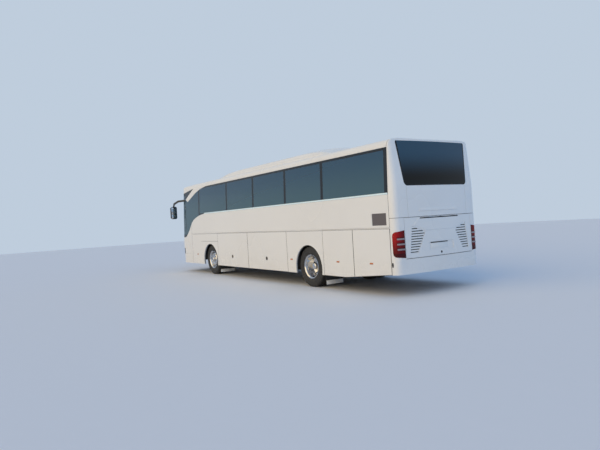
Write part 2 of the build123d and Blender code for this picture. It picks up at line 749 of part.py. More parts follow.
def lamp_area(gap):
    """Both lamp regions at the tail's corners: higher at their inner edges, with round front corners."""
    with BuildPart() as area:
        with BuildSketch(Plane.YZ.offset(TAIL_X - DEEP)) as from_behind:
            with BuildLine():
                Polyline((LAMP_INNER_Y, LAMP_LOW_Z), (LAMP_INNER_Y, LAMP_HIGH_Z), (LAMP_INNER_Y + 90, LAMP_HIGH_Z),
                         (HALF + 100, LAMP_HIGH_Z - 130), (HALF + 100, LAMP_LOW_Z + 60), close=True)
            make_face()
            if gap:
                offset(amount=-gap, kind=Kind.INTERSECTION)
            mirror(about=Plane.YZ)
        extrude(amount=2 * DEEP)
        with BuildSketch(Plane.XZ.offset(-HALF - 100)) as from_the_side:
            with Locations((LAMP_FRONT_X - DEEP / 2, (LAMP_LOW_Z + LAMP_HIGH_Z) / 2)):
                Rectangle(DEEP, LAMP_HIGH_Z - LAMP_LOW_Z - 130)
            fillet(from_the_side.vertices(), LAMP_CORNER_R)
            with Locations((TAIL_X - DEEP / 2 + 60, (LAMP_LOW_Z + LAMP_HIGH_Z) / 2)):
                Rectangle(DEEP, LAMP_HIGH_Z - LAMP_LOW_Z)
            if gap:
                offset(amount=-gap, kind=Kind.INTERSECTION)
        extrude(amount=WIDTH + 200, mode=Mode.INTERSECT)
    return area.part


with BuildPart() as rear_bumper:
    add(common(tail_skin, block(-FAR, 0, -FAR, FAR, 0, REAR_SEAM_Z)))
    add(lid_hole, mode=Mode.SUBTRACT)
    add(lamp_area(0), mode=Mode.SUBTRACT)
    add(seams.part, mode=Mode.SUBTRACT)
write(rear_bumper.part, "rear_bumper")
write(common(SHELL, lamp_area(RUNNING)), "tail_lamps")

# Nose: mask, bumper, service flap and headlamps
nose_area = block(NOSE_SEAM, FAR, -FAR, FAR, 0, SCREEN_SEAM_TOP_Z)
with BuildPart() as nose_skin:
    add(less(common(SHELL, nose_area), glass_area))
    add(less(common(inner_skin, nose_area), across(glass_band(FLANGE_BED))))
flap_x = NOSE_X - NOSE_LEANS[1][2] * (MASK_FLAP_TOP_Z - NOSE_LEANS[1][0])
bumper_box = block(0, FAR, -FAR, FAR, 0, FRONT_BUMPER_Z)
flap_hole = block(0, FAR, -MASK_FLAP_HALF - SEAM, MASK_FLAP_HALF + SEAM, FRONT_BUMPER_Z, MASK_FLAP_TOP_Z + SEAM)


def headlamp_area(gap):
    """Both headlamp regions, wrapped round the nose's corners."""
    inner = HEADLAMP_INNER_Y + gap
    return less(
        block(NOSE_X - HEADLAMP_REACH + gap, FAR, -HALF, HALF, FRONT_BUMPER_Z + gap, HEADLAMP_TOP_Z - gap),
        block(0, FAR, -inner, inner, 0, FAR),
    )


with BuildPart() as front_bumper:
    add(common(nose_skin.part, bumper_box))
    add(seams.part, mode=Mode.SUBTRACT)
write(front_bumper.part, "front_bumper")

with BuildPart() as front_mask:
    add(less(nose_skin.part, bumper_box, flap_hole, headlamp_area(0)))
    add(seams.part, mode=Mode.SUBTRACT)
    add(barrels(flap_x, MASK_FLAP_TOP_Z, 1, BARREL_R + SEAM, flap_x - WALL), mode=Mode.SUBTRACT)
    add(barrels(flap_x, MASK_FLAP_TOP_Z, -1, BARREL_R, None))
    for y in HINGE_YS:
        mid = y - (BARREL_LONG + RUNNING) / 2
        add(block(flap_x - 20, flap_x, mid - BARREL_LONG / 2, mid + BARREL_LONG / 2, MASK_FLAP_TOP_Z,
                  MASK_FLAP_TOP_Z + 12))
write(front_mask.part, "front_mask")
write(common(nose_skin.part, headlamp_area(RUNNING)), "headlamps")

with BuildPart() as front_flap:
    add(common(nose_skin.part, block(0, FAR, -MASK_FLAP_HALF, MASK_FLAP_HALF, FRONT_BUMPER_Z + LID_GAP,
                                     MASK_FLAP_TOP_Z)))
    add(barrels(flap_x, MASK_FLAP_TOP_Z, -1, BARREL_R + SEAM, flap_x - WALL), mode=Mode.SUBTRACT)
    add(barrels(flap_x, MASK_FLAP_TOP_Z, 1, BARREL_R, flap_x - 20))
write(front_flap.part, "front_flap")

# Roof fairing over the air conditioning, and two roof hatches
end_z, fairing_foot_z = HEIGHT - FAIRING_END_DROP, WINDOW_TOP_Z + 30
with BuildPart() as fairing:
    with BuildSketch(Plane.YZ.offset(FAIRING_BACK)):
        with BuildLine():
            crown = ThreePointArc((1010, HEIGHT - 120), (0, HEIGHT), (-1010, HEIGHT - 120))
            Polyline(crown @ 1, (-1090, HEIGHT - 180), (-1155, fairing_foot_z), (1155, fairing_foot_z),
                     (1090, HEIGHT - 180), crown @ 0)
        make_face()
    extrude(amount=FAIRING_FRONT - FAIRING_BACK)
    with BuildSketch(Plane.XZ.offset(-HALF)):
        with BuildLine():
            for heading, falls in (
                # from the top to each end: (x, how far below the top)
                ((1, 0), [(FAIRING_FRONT - 1500, 45), (FAIRING_FRONT - 520, 175), (FAIRING_FRONT, FAIRING_END_DROP)]),
                ((-1, 0), [(FAIRING_BACK + 2000, 30), (FAIRING_BACK + 600, 125), (FAIRING_BACK, FAIRING_END_DROP)]),
            ):
                start = (FAIRING_TOP_X, HEIGHT)
                for x, drop in falls:
                    end = (x, HEIGHT - drop)
                    heading = TangentArc(start, end, tangent=heading) % 1
                    start = end
            Polyline((FAIRING_FRONT, end_z), (FAIRING_FRONT, SILL_Z), (FAIRING_BACK, SILL_Z), (FAIRING_BACK, end_z))
        make_face()
    extrude(amount=WIDTH, mode=Mode.INTERSECT)
    add(OUTER, mode=Mode.SUBTRACT)
write(fairing.part, "roof_fairing")

with BuildPart() as roof_hatches:
    with Locations((HATCH_REAR_X, 0, ROOF_TOP_Z - 15), (HATCH_FRONT_X, 0, ROOF_TOP_Z - 15)):
        Box(HATCH, HATCH, 100)
    fillet(roof_hatches.edges().filter_by(Axis.Z), 60)
    add(OUTER, mode=Mode.SUBTRACT)
write(roof_hatches.part, "roof_hatches")

# Floor, step down to the cab, and the stair openings
stair_box = block(REAR_ARCH_FRONT + STAIR_WALL, MID_DOOR_FRONT - STAIR_WALL, -HALF, -STAIR_INNER_Y, 0, FAR)
with BuildPart() as floor_deck:
    add(block(REAR_CAP_SEAM + 10, FRONT_DOOR_BACK, -HALF + WALL, HALF - WALL, FLOOR_Z - FLOOR_THICK, FLOOR_Z))
    add(block(FRONT_DOOR_BACK - FLOOR_THICK, FRONT_DOOR_BACK, -HALF + WALL, HALF - WALL,
              CAB_FLOOR_Z - FLOOR_THICK, FLOOR_Z))
    add(block(FRONT_DOOR_BACK - FLOOR_THICK, CAB_FRONT_X, -CAB_HALF, HALF - WALL,
              CAB_FLOOR_Z - FLOOR_THICK, CAB_FLOOR_Z))
    add(both(block(REAR_CAP_SEAM + 120, FRONT_DOOR_BACK, HALF - WALL - DUCT, HALF - WALL, FLOOR_Z, FLOOR_Z + DUCT_HIGH)))
    add(stair_box, mode=Mode.SUBTRACT)
write(floor_deck.part, "floor_deck")

# Luggage bay: two bulkheads and the floor, cut out where the stairwell stands
bay_back, bay_front = REAR_ARCH_FRONT, FRONT_ARCH_BACK
bay_half = HALF - WALL - 5
bay_top = FLOOR_Z - FLOOR_THICK
stair_x0, stair_x1 = bay_back + STAIR_WALL, MID_DOOR_FRONT - STAIR_WALL
stair_pan = block(stair_x0, MID_DOOR_FRONT, -bay_half, STAIR_WALL - STAIR_INNER_Y,
                  BAY_FLOOR_Z - BAY_FLOOR_THICK, BAY_FLOOR_Z)
with BuildPart() as luggage_bay:
    add(block(bay_back, bay_front, -bay_half, bay_half, BAY_FLOOR_Z - BAY_FLOOR_THICK, BAY_FLOOR_Z))
    add(stair_pan, mode=Mode.SUBTRACT)
    for bulkhead_x in (bay_back, bay_front - BULKHEAD):
        add(block(bulkhead_x, bulkhead_x + BULKHEAD, -bay_half, bay_half, BAY_FLOOR_Z, bay_top))
write(luggage_bay.part, "luggage_bay")

# Stairwell of the middle door: a pan with the steps, and on it two walls that box it off from the bay
with BuildPart() as stairwell:
    add(stair_pan)
    for step in range(STEPS):
        inner = STAIR_INNER_Y + TOUCH + step * STEP_RUN
        add(block(stair_x0, stair_x1 - TOUCH, -inner - STEP_RUN, -inner, BAY_FLOOR_Z,
                  BAY_FLOOR_Z + (STEPS - step) * STEP_RISE))
    wall_foot_z = BAY_FLOOR_Z + TOUCH
    add(block(stair_x1, MID_DOOR_FRONT, -bay_half, -STAIR_INNER_Y, wall_foot_z, bay_top))
    add(block(stair_x0, MID_DOOR_FRONT, -STAIR_INNER_Y, STAIR_WALL - STAIR_INNER_Y, wall_foot_z, bay_top))
write(stairwell.part, "stairwell")

# Wheel housings, open outwards and below
with BuildPart() as wheel_housings:
    for axle_x, inner_y in ((REAR_AXLE_X, REAR_HOUSING_Y), (FRONT_AXLE_X, FRONT_HOUSING_Y)):
        skin = HOUSING_SKIN
        x0, x1 = axle_x - HOUSING_REACH, axle_x + HOUSING_REACH
        with BuildPart(mode=Mode.PRIVATE) as housing:
            add(block(x0 - skin, x1 + skin, inner_y - skin, HALF - WALL, SKIRT_Z + 150, HOUSING_TOP_Z + skin))
            add(block(x0, x1, inner_y, HALF, 0, HOUSING_TOP_Z), mode=Mode.SUBTRACT)
            add(block(axle_x - AXLE_NOTCH, axle_x + AXLE_NOTCH, 0, HALF, 0, TYRE_R + AXLE_NOTCH), mode=Mode.SUBTRACT)
        add(both(housing.part))
write(wheel_housings.part, "wheel_housings")

# Chassis rails: one pair over each axle, ending at the bay's bulkheads
rail_back, rail_front = REAR_CAP_SEAM + 85, NOSE_X - 520
with BuildPart() as chassis_rails:
    for x0, x1 in ((rail_back, bay_back), (bay_front, rail_front)):
        add(both(block(x0, x1, RAIL_Y - RAIL_WIDTH / 2, RAIL_Y + RAIL_WIDTH / 2, RAIL_Z, RAIL_Z + RAIL_HEIGHT)))
write(chassis_rails.part, "chassis_rails")

# Engine and gearbox as one plain block between the rear rails
engine_x0, engine_x1 = rail_back + 100, REAR_AXLE_X - 1500
with BuildPart() as engine:
    add(block(engine_x0, engine_x1, -ENGINE_HALF, ENGINE_HALF, 560, 1260))
    with Locations(Location((engine_x1 + 250, 0, 720), (0, 90, 0))):
        Cylinder(230, 500)
    for mount_x in (engine_x0 + 200, engine_x1 - 200):
        add(block(mount_x - 60, mount_x + 60, -RAIL_Y + RAIL_WIDTH / 2, RAIL_Y - RAIL_WIDTH / 2,
                  RAIL_Z + 40, RAIL_Z + 100))
write(engine.part, "engine")


# Axles
def springs(axle_x):
    """Waisted air bellows under the rails on both sides of an axle, and the arms that carry them."""
    foot_z = TYRE_R + SPRING_ARM
    bellows = Rot(90, 0, 0) * turned(
        [(foot_z, SPRING_R), ((foot_z + RAIL_Z) / 2, SPRING_R - SPRING_WAIST), (RAIL_Z, SPRING_R)], BELLOWS_SIDES)
    with BuildPart() as made:
        for side in (-1, 1):
            arm_y = side * SPRING_Y
            add(block(axle_x - SPRING_X - SPRING_R, axle_x + SPRING_X + SPRING_R, arm_y - SPRING_ARM,
                      arm_y + SPRING_ARM, TYRE_R - SPRING_ARM, foot_z))
            for x in (-SPRING_X, SPRING_X):
                add(Pos(axle_x + x, arm_y, 0) * bellows)
    return made.part


with BuildPart() as rear_axle:
    with Locations(Location((REAR_AXLE_X, 0, TYRE_R), (90, 0, 0))):
        Cylinder(75, 2 * REAR_TUBE_Y)
        Cylinder(REAR_STUB_R, 2 * REAR_HUB_Y)
    add(Pos(REAR_AXLE_X, 0, TYRE_R) * turned([(-200, 90), (-110, 200), (110, 200), (200, 90)], HUB_SIDES))
    add(springs(REAR_AXLE_X))
write(rear_axle.part, "rear_axle")

with BuildPart() as front_axle:
    add(block(FRONT_AXLE_X - 50, FRONT_AXLE_X + 50, -KINGPIN_Y, KINGPIN_Y, TYRE_R - 55, TYRE_R + 55))
    with Locations((FRONT_AXLE_X, KINGPIN_Y, TYRE_R), (FRONT_AXLE_X, -KINGPIN_Y, TYRE_R)):
        Cylinder(BOSS_R, 2 * BOSS_HALF)
        Cylinder(KINGPIN_R + RUNNING, 2 * BOSS_HALF, mode=Mode.SUBTRACT)
    add(springs(FRONT_AXLE_X))
write(front_axle.part, "front_axle")

# Steering knuckle: a fork around the axle's boss, with the spindle outboard
with BuildPart() as knuckle:
    with Locations((FRONT_AXLE_X, KINGPIN_Y, TYRE_R)):
        Cylinder(BOSS_R, 2 * FORK_HALF)
    add(block(FRONT_AXLE_X - BOSS_R, FRONT_AXLE_X + BOSS_R, KINGPIN_Y, FORK_FACE_Y, TYRE_R - FORK_HALF,
              TYRE_R + FORK_HALF))
    with Locations((FRONT_AXLE_X, KINGPIN_Y, TYRE_R)):
        Cylinder(BOSS_R + 12, 2 * BOSS_HALF + 2 * LOOSE, mode=Mode.SUBTRACT)
        Cylinder(KINGPIN_R, 2 * FORK_HALF)
    with Locations(Location((FRONT_AXLE_X, (FORK_FACE_Y + SPINDLE_END_Y) / 2, TYRE_R), (90, 0, 0))):
        Cylinder(SPINDLE_R, SPINDLE_END_Y - FORK_FACE_Y)
write(knuckle.part, "knuckle_left")
write(mirrored(knuckle.part), "knuckle_right")


# Wheels
def tyre(axle_x, y):
    """A tyre around its axle line, centred at y."""
    half = [
        (BEAD_HALF, BEAD_R),
        (TYRE_WIDTH / 2, BEAD_R + SIDEWALL_RISE),
        (TREAD_HALF + SHOULDER, TYRE_R - SHOULDER_DROP),
        (TREAD_HALF, TYRE_R),
    ]
    sections = [(-at, radius) for at, radius in half] + half[::-1]
    bore = turned([(-TYRE_WIDTH, BEAD_R), (TYRE_WIDTH, BEAD_R)], ROUND_SIDES)
    return Pos(axle_x, y, TYRE_R) * less(turned(sections, ROUND_SIDES), bore)


def barrel(y):
    """A rim's barrel with its two flanges, centred at y."""
    with BuildPart() as made:
        add(turned([(y - RIM_HALF, RIM_R), (y + RIM_HALF, RIM_R)], ROUND_SIDES))
        for edge, inward in ((y - RIM_HALF, FLANGE), (y + RIM_HALF, -FLANGE)):
            add(turned([(edge, RIM_R + FLANGE_HIGH), (edge + inward, RIM_R + FLANGE_HIGH)], ROUND_SIDES))
        add(turned([(y - RIM_HALF, RIM_R - BARREL), (y + RIM_HALF, RIM_R - BARREL)], HUB_SIDES), mode=Mode.SUBTRACT)
    return made.part


def disc(outside, inside):
    """A dished wheel disc between two sets of sections, with its ring of hand holes."""
    with BuildPart() as made:
        add(turned(outside, HUB_SIDES))
        add(turned(inside, HUB_SIDES), mode=Mode.SUBTRACT)
        with BuildSketch(Plane.XZ.offset(-outside[0][0])):
            with PolarLocations(HAND_HOLE_CIRCLE, HAND_HOLES):
                RegularPolygon(HAND_HOLE_R, 8)
        extrude(amount=DISC_EDGE_R, both=True, mode=Mode.SUBTRACT)
    return made.part


def rim(axle_x, barrels_and_discs, hub, bore):
    """A wheel's metal parts in one, bored from the inboard end."""
    with BuildPart() as made:
        for piece in barrels_and_discs:
            add(piece)
        add(turned(hub, HUB_SIDES))
        add(turned(bore, HUB_SIDES), mode=Mode.SUBTRACT)
    return Pos(axle_x, 0, TYRE_R) * made.part


# Front wheel: the disc is dished outwards
wheel_y, hub_y, bore_r = FRONT_WHEEL_Y, FORK_FACE_Y + 8, SPINDLE_R + RUNNING
front_disc = disc(
    [(wheel_y + 46, DISC_EDGE_R), (wheel_y + 62, 262), (wheel_y + 106, 190)],
    [(wheel_y + 30, 262), (wheel_y + 48, 250), (wheel_y + 92, 180)],
)
front_hub = [(hub_y, HUB_R), (wheel_y + 104, HUB_R), (wheel_y + 134, 85), (wheel_y + 150, 60)]
front_rim = rim(FRONT_AXLE_X, [barrel(wheel_y), front_disc], front_hub,
                [(hub_y - 1, bore_r), (wheel_y + 136, bore_r)])
front_tyre = tyre(FRONT_AXLE_X, FRONT_WHEEL_Y)
write(front_tyre, "tyre_front_left")
write(mirrored(front_tyre), "tyre_front_right")
write(front_rim, "rim_front_left")
write(mirrored(front_rim), "rim_front_right")

# Rear twin wheels: the two discs meet back to back on the hub's face between them
wheel_y, hub_y, bore_r = REAR_WHEEL_Y, REAR_TUBE_Y + 8, REAR_STUB_R + RUNNING
inner_wheel_y, meet_y = wheel_y - TWIN_PITCH, wheel_y - TWIN_PITCH / 2
twin_discs = [
    disc(
        [(meet_y, 196), (meet_y + facing * 58, DISC_EDGE_R)],
        [(meet_y + facing * 14, 184), (meet_y + facing * 70, 264)],
    )
    for facing in (-1, 1)
]
rear_hub = [(hub_y, HUB_R), (meet_y + 16, HUB_R), (wheel_y - 20, 88), (wheel_y + 40, 80), (wheel_y + 60, 45)]
rear_rims = rim(REAR_AXLE_X, [barrel(wheel_y), barrel(inner_wheel_y), *twin_discs], rear_hub,
                [(hub_y - 1, bore_r), (REAR_HUB_Y + 18, bore_r)])
with BuildPart() as rear_tyres:
    add(tyre(REAR_AXLE_X, wheel_y))
    add(tyre(REAR_AXLE_X, inner_wheel_y))
write(rear_tyres.part, "tyres_rear_left")
write(mirrored(rear_tyres.part), "tyres_rear_right")
write(rear_rims, "rims_rear_left")
write(mirrored(rear_rims), "rims_rear_right")

# Mudflaps behind the wheels
with BuildPart() as mudflaps:
    for x, y0, y1 in ((REAR_AXLE_X - HOUSING_REACH - HOUSING_SKIN, 700, 1220),
                      (FRONT_AXLE_X - HOUSING_REACH - HOUSING_SKIN, 670, 1220)):
        add(both(block(x - MUDFLAP, x, y0, y1, MUDFLAP_LOW_Z, SKIRT_Z + 300)))
write(mudflaps.part, "mudflaps")

# Mirrors on swept arms
with BuildPart() as mirror_left:
    for start, end in zip(MIRROR_PATH, MIRROR_PATH[1:]):
        run = Vector(*end) - Vector(*start)
        with BuildSketch(Plane(origin=start, x_dir=(0, 0, 1), z_dir=run)):
            RectangleRounded(76, 44, 16)
        extrude(amount=run.length + 12)
    with BuildSketch(Plane.YZ.offset(MIRROR_BACK_X)):
        with Locations((MIRROR_Y, (MIRROR_LOW_Z + MIRROR_HIGH_Z) / 2)):
            RectangleRounded(MIRROR_WIDE, MIRROR_HIGH_Z - MIRROR_LOW_Z, MIRROR_CORNER_R)
    extrude(amount=MIRROR_DEEP, taper=MIRROR_TAPER)
    add(OUTER, mode=Mode.SUBTRACT)
write(both(mirror_left.part), "mirrors")

# Seats: one double bench per row and side
with BuildSketch() as bench_face:
    with BuildLine():
        Polyline((100, 0), (350, 0), (350, 330), (460, 350), (465, 450), (95, 435), (-70, 1160), (-180, 1135),
                 (-15, 320), (100, 315), close=True)
    make_face()


def seat_side(rows):
    """Left-hand benches at the given positions."""
    with BuildPart() as seats:
        for x in rows:
            add(Pos(x, 0, FLOOR_Z) * across(bench_face.sketch, SEAT_INNER_Y, SEAT_OUTER_Y))
    return seats.part


rows = [SEAT_FRONT_X - row * SEAT_PITCH for row in range(SEAT_ROWS)]
right_rows = [x for x in rows if not REAR_ARCH_FRONT - 480 < x < MID_DOOR_FRONT + 200]
write(seat_side(rows), "seats_left")
write(mirrored(seat_side(right_rows)), "seats_right")

# Cab: dashboard, steering wheel and driver's seat
with BuildPart() as cab:
    with BuildSketch(Plane.XZ.offset(-CAB_HALF)):
        with BuildLine():
            Polyline((DASH_X, CAB_FLOOR_Z), (DASH_X + 60, 1250), (DASH_X - 40, 1420), (DASH_X + 120, 1500),
                     (DASH_X + 330, 1330), (DASH_X + 330, CAB_FLOOR_Z), close=True)
        make_face()
    extrude(amount=2 * CAB_HALF)
write(cab.part, "dashboard")

with BuildPart() as driver_seat:
    add(Pos(DRIVER_X, 0, CAB_FLOOR_Z) * across(bench_face.sketch, 370, 870))
write(driver_seat.part, "driver_seat")

wheel_plane = Plane(origin=(DRIVER_X + 640, 620, CAB_FLOOR_Z + 720), z_dir=(-0.6, 0, 0.8))
wheel_ring = less(turned([(-12, 228), (0, 238), (12, 228)], HUB_SIDES), turned([(-13, 206), (13, 206)], HUB_SIDES))
with BuildPart() as steering_wheel:
    add(wheel_plane.location * Rot(90, 0, 0) * wheel_ring)
    with Locations(wheel_plane):
        Box(32, 430, 20)
        with Locations((0, 0, -350)):
            Cylinder(26, 700)
    add(cab.part, mode=Mode.SUBTRACT)
write(steering_wheel.part, "steering_wheel")
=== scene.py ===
"""Touring coach: paint, glass, wheels, lamps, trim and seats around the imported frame.

Metres, in the frame's own axes: +X forwards, +Y to the coach's left, +Z up.
"""

import math

import bmesh
import bpy
from bpy.props import FloatProperty, FloatVectorProperty, IntProperty, PointerProperty
from mathutils import Matrix, Vector


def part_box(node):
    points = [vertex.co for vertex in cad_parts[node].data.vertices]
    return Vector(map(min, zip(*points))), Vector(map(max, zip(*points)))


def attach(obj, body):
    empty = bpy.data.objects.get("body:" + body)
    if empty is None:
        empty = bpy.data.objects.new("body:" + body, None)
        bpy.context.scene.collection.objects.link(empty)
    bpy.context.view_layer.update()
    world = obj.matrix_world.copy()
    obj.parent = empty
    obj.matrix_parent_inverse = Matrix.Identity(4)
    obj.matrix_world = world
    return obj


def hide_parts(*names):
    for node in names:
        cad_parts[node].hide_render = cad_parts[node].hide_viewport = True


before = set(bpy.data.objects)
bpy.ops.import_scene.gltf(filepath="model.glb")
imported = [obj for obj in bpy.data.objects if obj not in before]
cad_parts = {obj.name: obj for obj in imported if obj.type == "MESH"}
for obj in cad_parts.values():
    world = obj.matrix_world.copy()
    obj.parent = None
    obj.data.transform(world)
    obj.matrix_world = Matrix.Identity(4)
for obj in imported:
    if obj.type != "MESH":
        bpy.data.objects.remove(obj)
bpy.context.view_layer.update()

bl_info = {
    "name": "Touring Coach",
    "version": (1, 0, 0),
    "blender": (4, 5, 0),
    "location": "3D View > Sidebar > Coach",
    "description": "Finishes a packed touring coach: paint, glass, wheels, lamps, trim, seats and a studio",
    "category": "Object",
}

# Lines of the body that the finishes and pieces follow, read from the frame where it holds them
REAR_AXLE_X = sum(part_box("tyres_rear_left"), Vector()).x / 2
POST_STATIONS = (-0.727, 0.968, 2.780, 4.591, 6.900)
POSTS = [REAR_AXLE_X + station for station in POST_STATIONS]
TAIL_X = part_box("rear_bumper")[0].x
CAP_SEAM_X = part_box("rear_bumper")[1].x
NOSE_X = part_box("front_bumper")[1].x
NOSE_TIP_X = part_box("front_flap")[1].x
NOSE_SEAM_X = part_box("front_bumper")[0].x
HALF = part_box("rear_bumper")[1].y
FLAP_TOP_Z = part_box("side_wall_left")[0].z
SKIRT_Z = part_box("front_bay_flap_left")[0].z
SILL_Z = 2.142
ARCH_SEAM_Z = 1.165
FRONT_AXLE_X = sum(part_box("tyre_front_left"), Vector()).x / 2
GLASS_TOP_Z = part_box("side_glass")[1].z
ROOF_TOP_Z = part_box("roof")[1].z
ROOF_CROWN = 0.0463
WALL = 0.05

# The roof's shape: how far it falls towards the nose and the tail for each metre past a place, how far the
# walls lean in above the sill, and the middle and radius of its rounded corner
NOSE_FALL_X, NOSE_FALL = NOSE_X - 2.3, 0.06
TAIL_FALL_X, TAIL_FALL = TAIL_X + 1.6, 0.031
WALL_LEAN = 0.041
ROOF_CORNER_Y, ROOF_CORNER_Z = 1.084, 3.140
ROOF_CORNER_R = 0.125

FLAPS = [f"{flap}_{side}" for flap in ("front_bay_flap", "rear_bay_flap", "middle_service_flap",
                                       "rear_service_flap") for side in ("left", "right")]


def colour(name, value, description):
    """A colour that the user can change."""
    return FloatVectorProperty(name=name, description=description, subtype="COLOR", size=3, min=0, max=1,
                               default=value)


def length(name, value, description):
    """A length that the user can change."""
    return FloatProperty(name=name, description=description, unit="LENGTH", min=0, default=value)


class CoachColours(bpy.types.PropertyGroup):
    """Colours of the coach's finishes."""

    paint: colour("Paint", (0.80, 0.80, 0.79), "Gloss white of the bodywork")
    dust: colour("Dust", (0.42, 0.38, 0.32), "Road dust that gathers low on the sides")
    lining: colour("Lining", (0.16, 0.17, 0.18), "Inside faces of the body")
    seam: colour("Seam", (0.06, 0.06, 0.065), "Sealant in the gaps between fixed panels")
    glass: colour("Glass", (0.030, 0.085, 0.155), "Tint of the side and rear panes")
    border: colour("Glass border", (0.006, 0.007, 0.009), "Printed black border of the panes")
    rubber: colour("Rubber", (0.018, 0.018, 0.019), "Tyres and mudflaps")
    plastic: colour("Plastic", (0.030, 0.031, 0.033), "Mirror shells, louvres and trim")
    metal: colour("Polished metal", (0.58, 0.58, 0.59), "Wheel rims and mirror glass")
    steel: colour("Chassis steel", (0.045, 0.046, 0.050), "Axles, rails and wheel housings")
    red: colour("Tail lens", (0.36, 0.003, 0.006), "Red part of the tail lamps")
    clear: colour("Clear lens", (0.72, 0.73, 0.75), "Clear bars of the tail lamps and the headlamps")
    amber: colour("Amber lens", (0.62, 0.19, 0.035), "Side marker lamps")
    cloth: colour("Seat cloth", (0.035, 0.050, 0.095), "Woven seat covers")
    plate: colour("Plate", (0.78, 0.78, 0.76), "Blank number plate")


class CoachSizes(bpy.types.PropertyGroup):
    """Sizes of the pieces that are added to the frame."""

    tyre_steps: IntProperty(name="Tyre steps", description="Divisions round each tyre", default=120, min=24)
    rim_steps: IntProperty(name="Rim steps", description="Divisions round each rim", default=96, min=24)
    groove: length("Tread groove", 0.010, "Width of a groove between two tread ribs")
    groove_depth: length("Groove depth", 0.013, "Depth of the tread grooves")
    hand_hole: length("Hand hole", 0.046, "Diameter of the round holes in a wheel disc")
    nut: length("Wheel nut", 0.032, "Width across a wheel nut")
    seal: length("Flap seal", 0.005, "Width of the rubber edging on each flap")
    marker: length("Side marker", 0.105, "Length of an amber side marker")
    lock: length("Flap lock", 0.105, "Diameter of a luggage flap's lock")
    plate_width: length("Plate width", 0.52, "Width of the number plate")
    plate_height: length("Plate height", 0.112, "Height of the number plate")


class CoachStudio(bpy.types.PropertyGroup):
    """Camera and light."""

    lens: FloatProperty(name="Lens", description="Focal length on a 36 mm sensor, in mm", default=31.36)
    yaw: FloatProperty(name="Yaw", description="Camera heading from +X", subtype="ANGLE",
                       default=math.radians(-33.45))
    pitch: FloatProperty(name="Pitch", description="Camera tilt above the horizon", subtype="ANGLE",
                         default=math.radians(-0.59))
    roll: FloatProperty(name="Roll", description="Camera turn about its own axis", subtype="ANGLE",
                        default=math.radians(-3.47))
    backdrop: colour("Backdrop", (0.52, 0.61, 0.72), "Pale background that metal and glass show too")
    floor: colour("Floor", (0.78, 0.80, 0.84), "Pale studio floor")
    ambient: colour("Ambient", (0.255, 0.365, 0.545), "Soft light from all round")
    key: FloatProperty(name="Key light", description="Strength of the warm light on the left side",
                       default=2.05)
    fill: FloatProperty(name="Fill light", description="Strength of the cool light from behind", default=0.50)


# Materials

class Wire:
    """A number on its way through a material; sums, products and comparisons of it add Math nodes."""

    def __init__(self, finish, socket):
        self.finish = finish
        self.socket = socket

    def math(self, operation, *terms):
        made = self.finish.node("ShaderNodeMath", {"operation": operation}, dict(enumerate(terms)))
        return Wire(self.finish, made.outputs[0])

    def __add__(self, other):
        return self.math("ADD", self, other)

    def __radd__(self, other):
        return self.math("ADD", other, self)

    def __sub__(self, other):
        return self.math("SUBTRACT", self, other)

    def __rsub__(self, other):
        return self.math("SUBTRACT", other, self)

    def __mul__(self, other):
        return self.math("MULTIPLY", self, other)

    def __rmul__(self, other):
        return self.math("MULTIPLY", other, self)

    def __lt__(self, other):
        return self.math("LESS_THAN", self, other)

    def __gt__(self, other):
        return self.math("GREATER_THAN", self, other)

    def __abs__(self):
        return self.math("ABSOLUTE", self)

    def most(self, other):
        """The larger of the two."""
        return self.math("MAXIMUM", self, other)

    def rise(self, low, high):
        """0 below low, 1 above high, and smooth between them."""
        made = self.finish.node("ShaderNodeMapRange", {"interpolation_type": "SMOOTHSTEP"},
                                {"Value": self, "From Min": low, "From Max": high})
        return Wire(self.finish, made.outputs[0])

    def near(self, centre, reach):
        """1 within reach of centre and 0 outside."""
        return self.math("COMPARE", self, centre, reach)

    def wave(self, pitch):
        """A ripple from 0 to 1 that repeats every pitch."""
        return (self * (2 * math.pi / pitch)).math("SINE") * 0.5 + 0.5


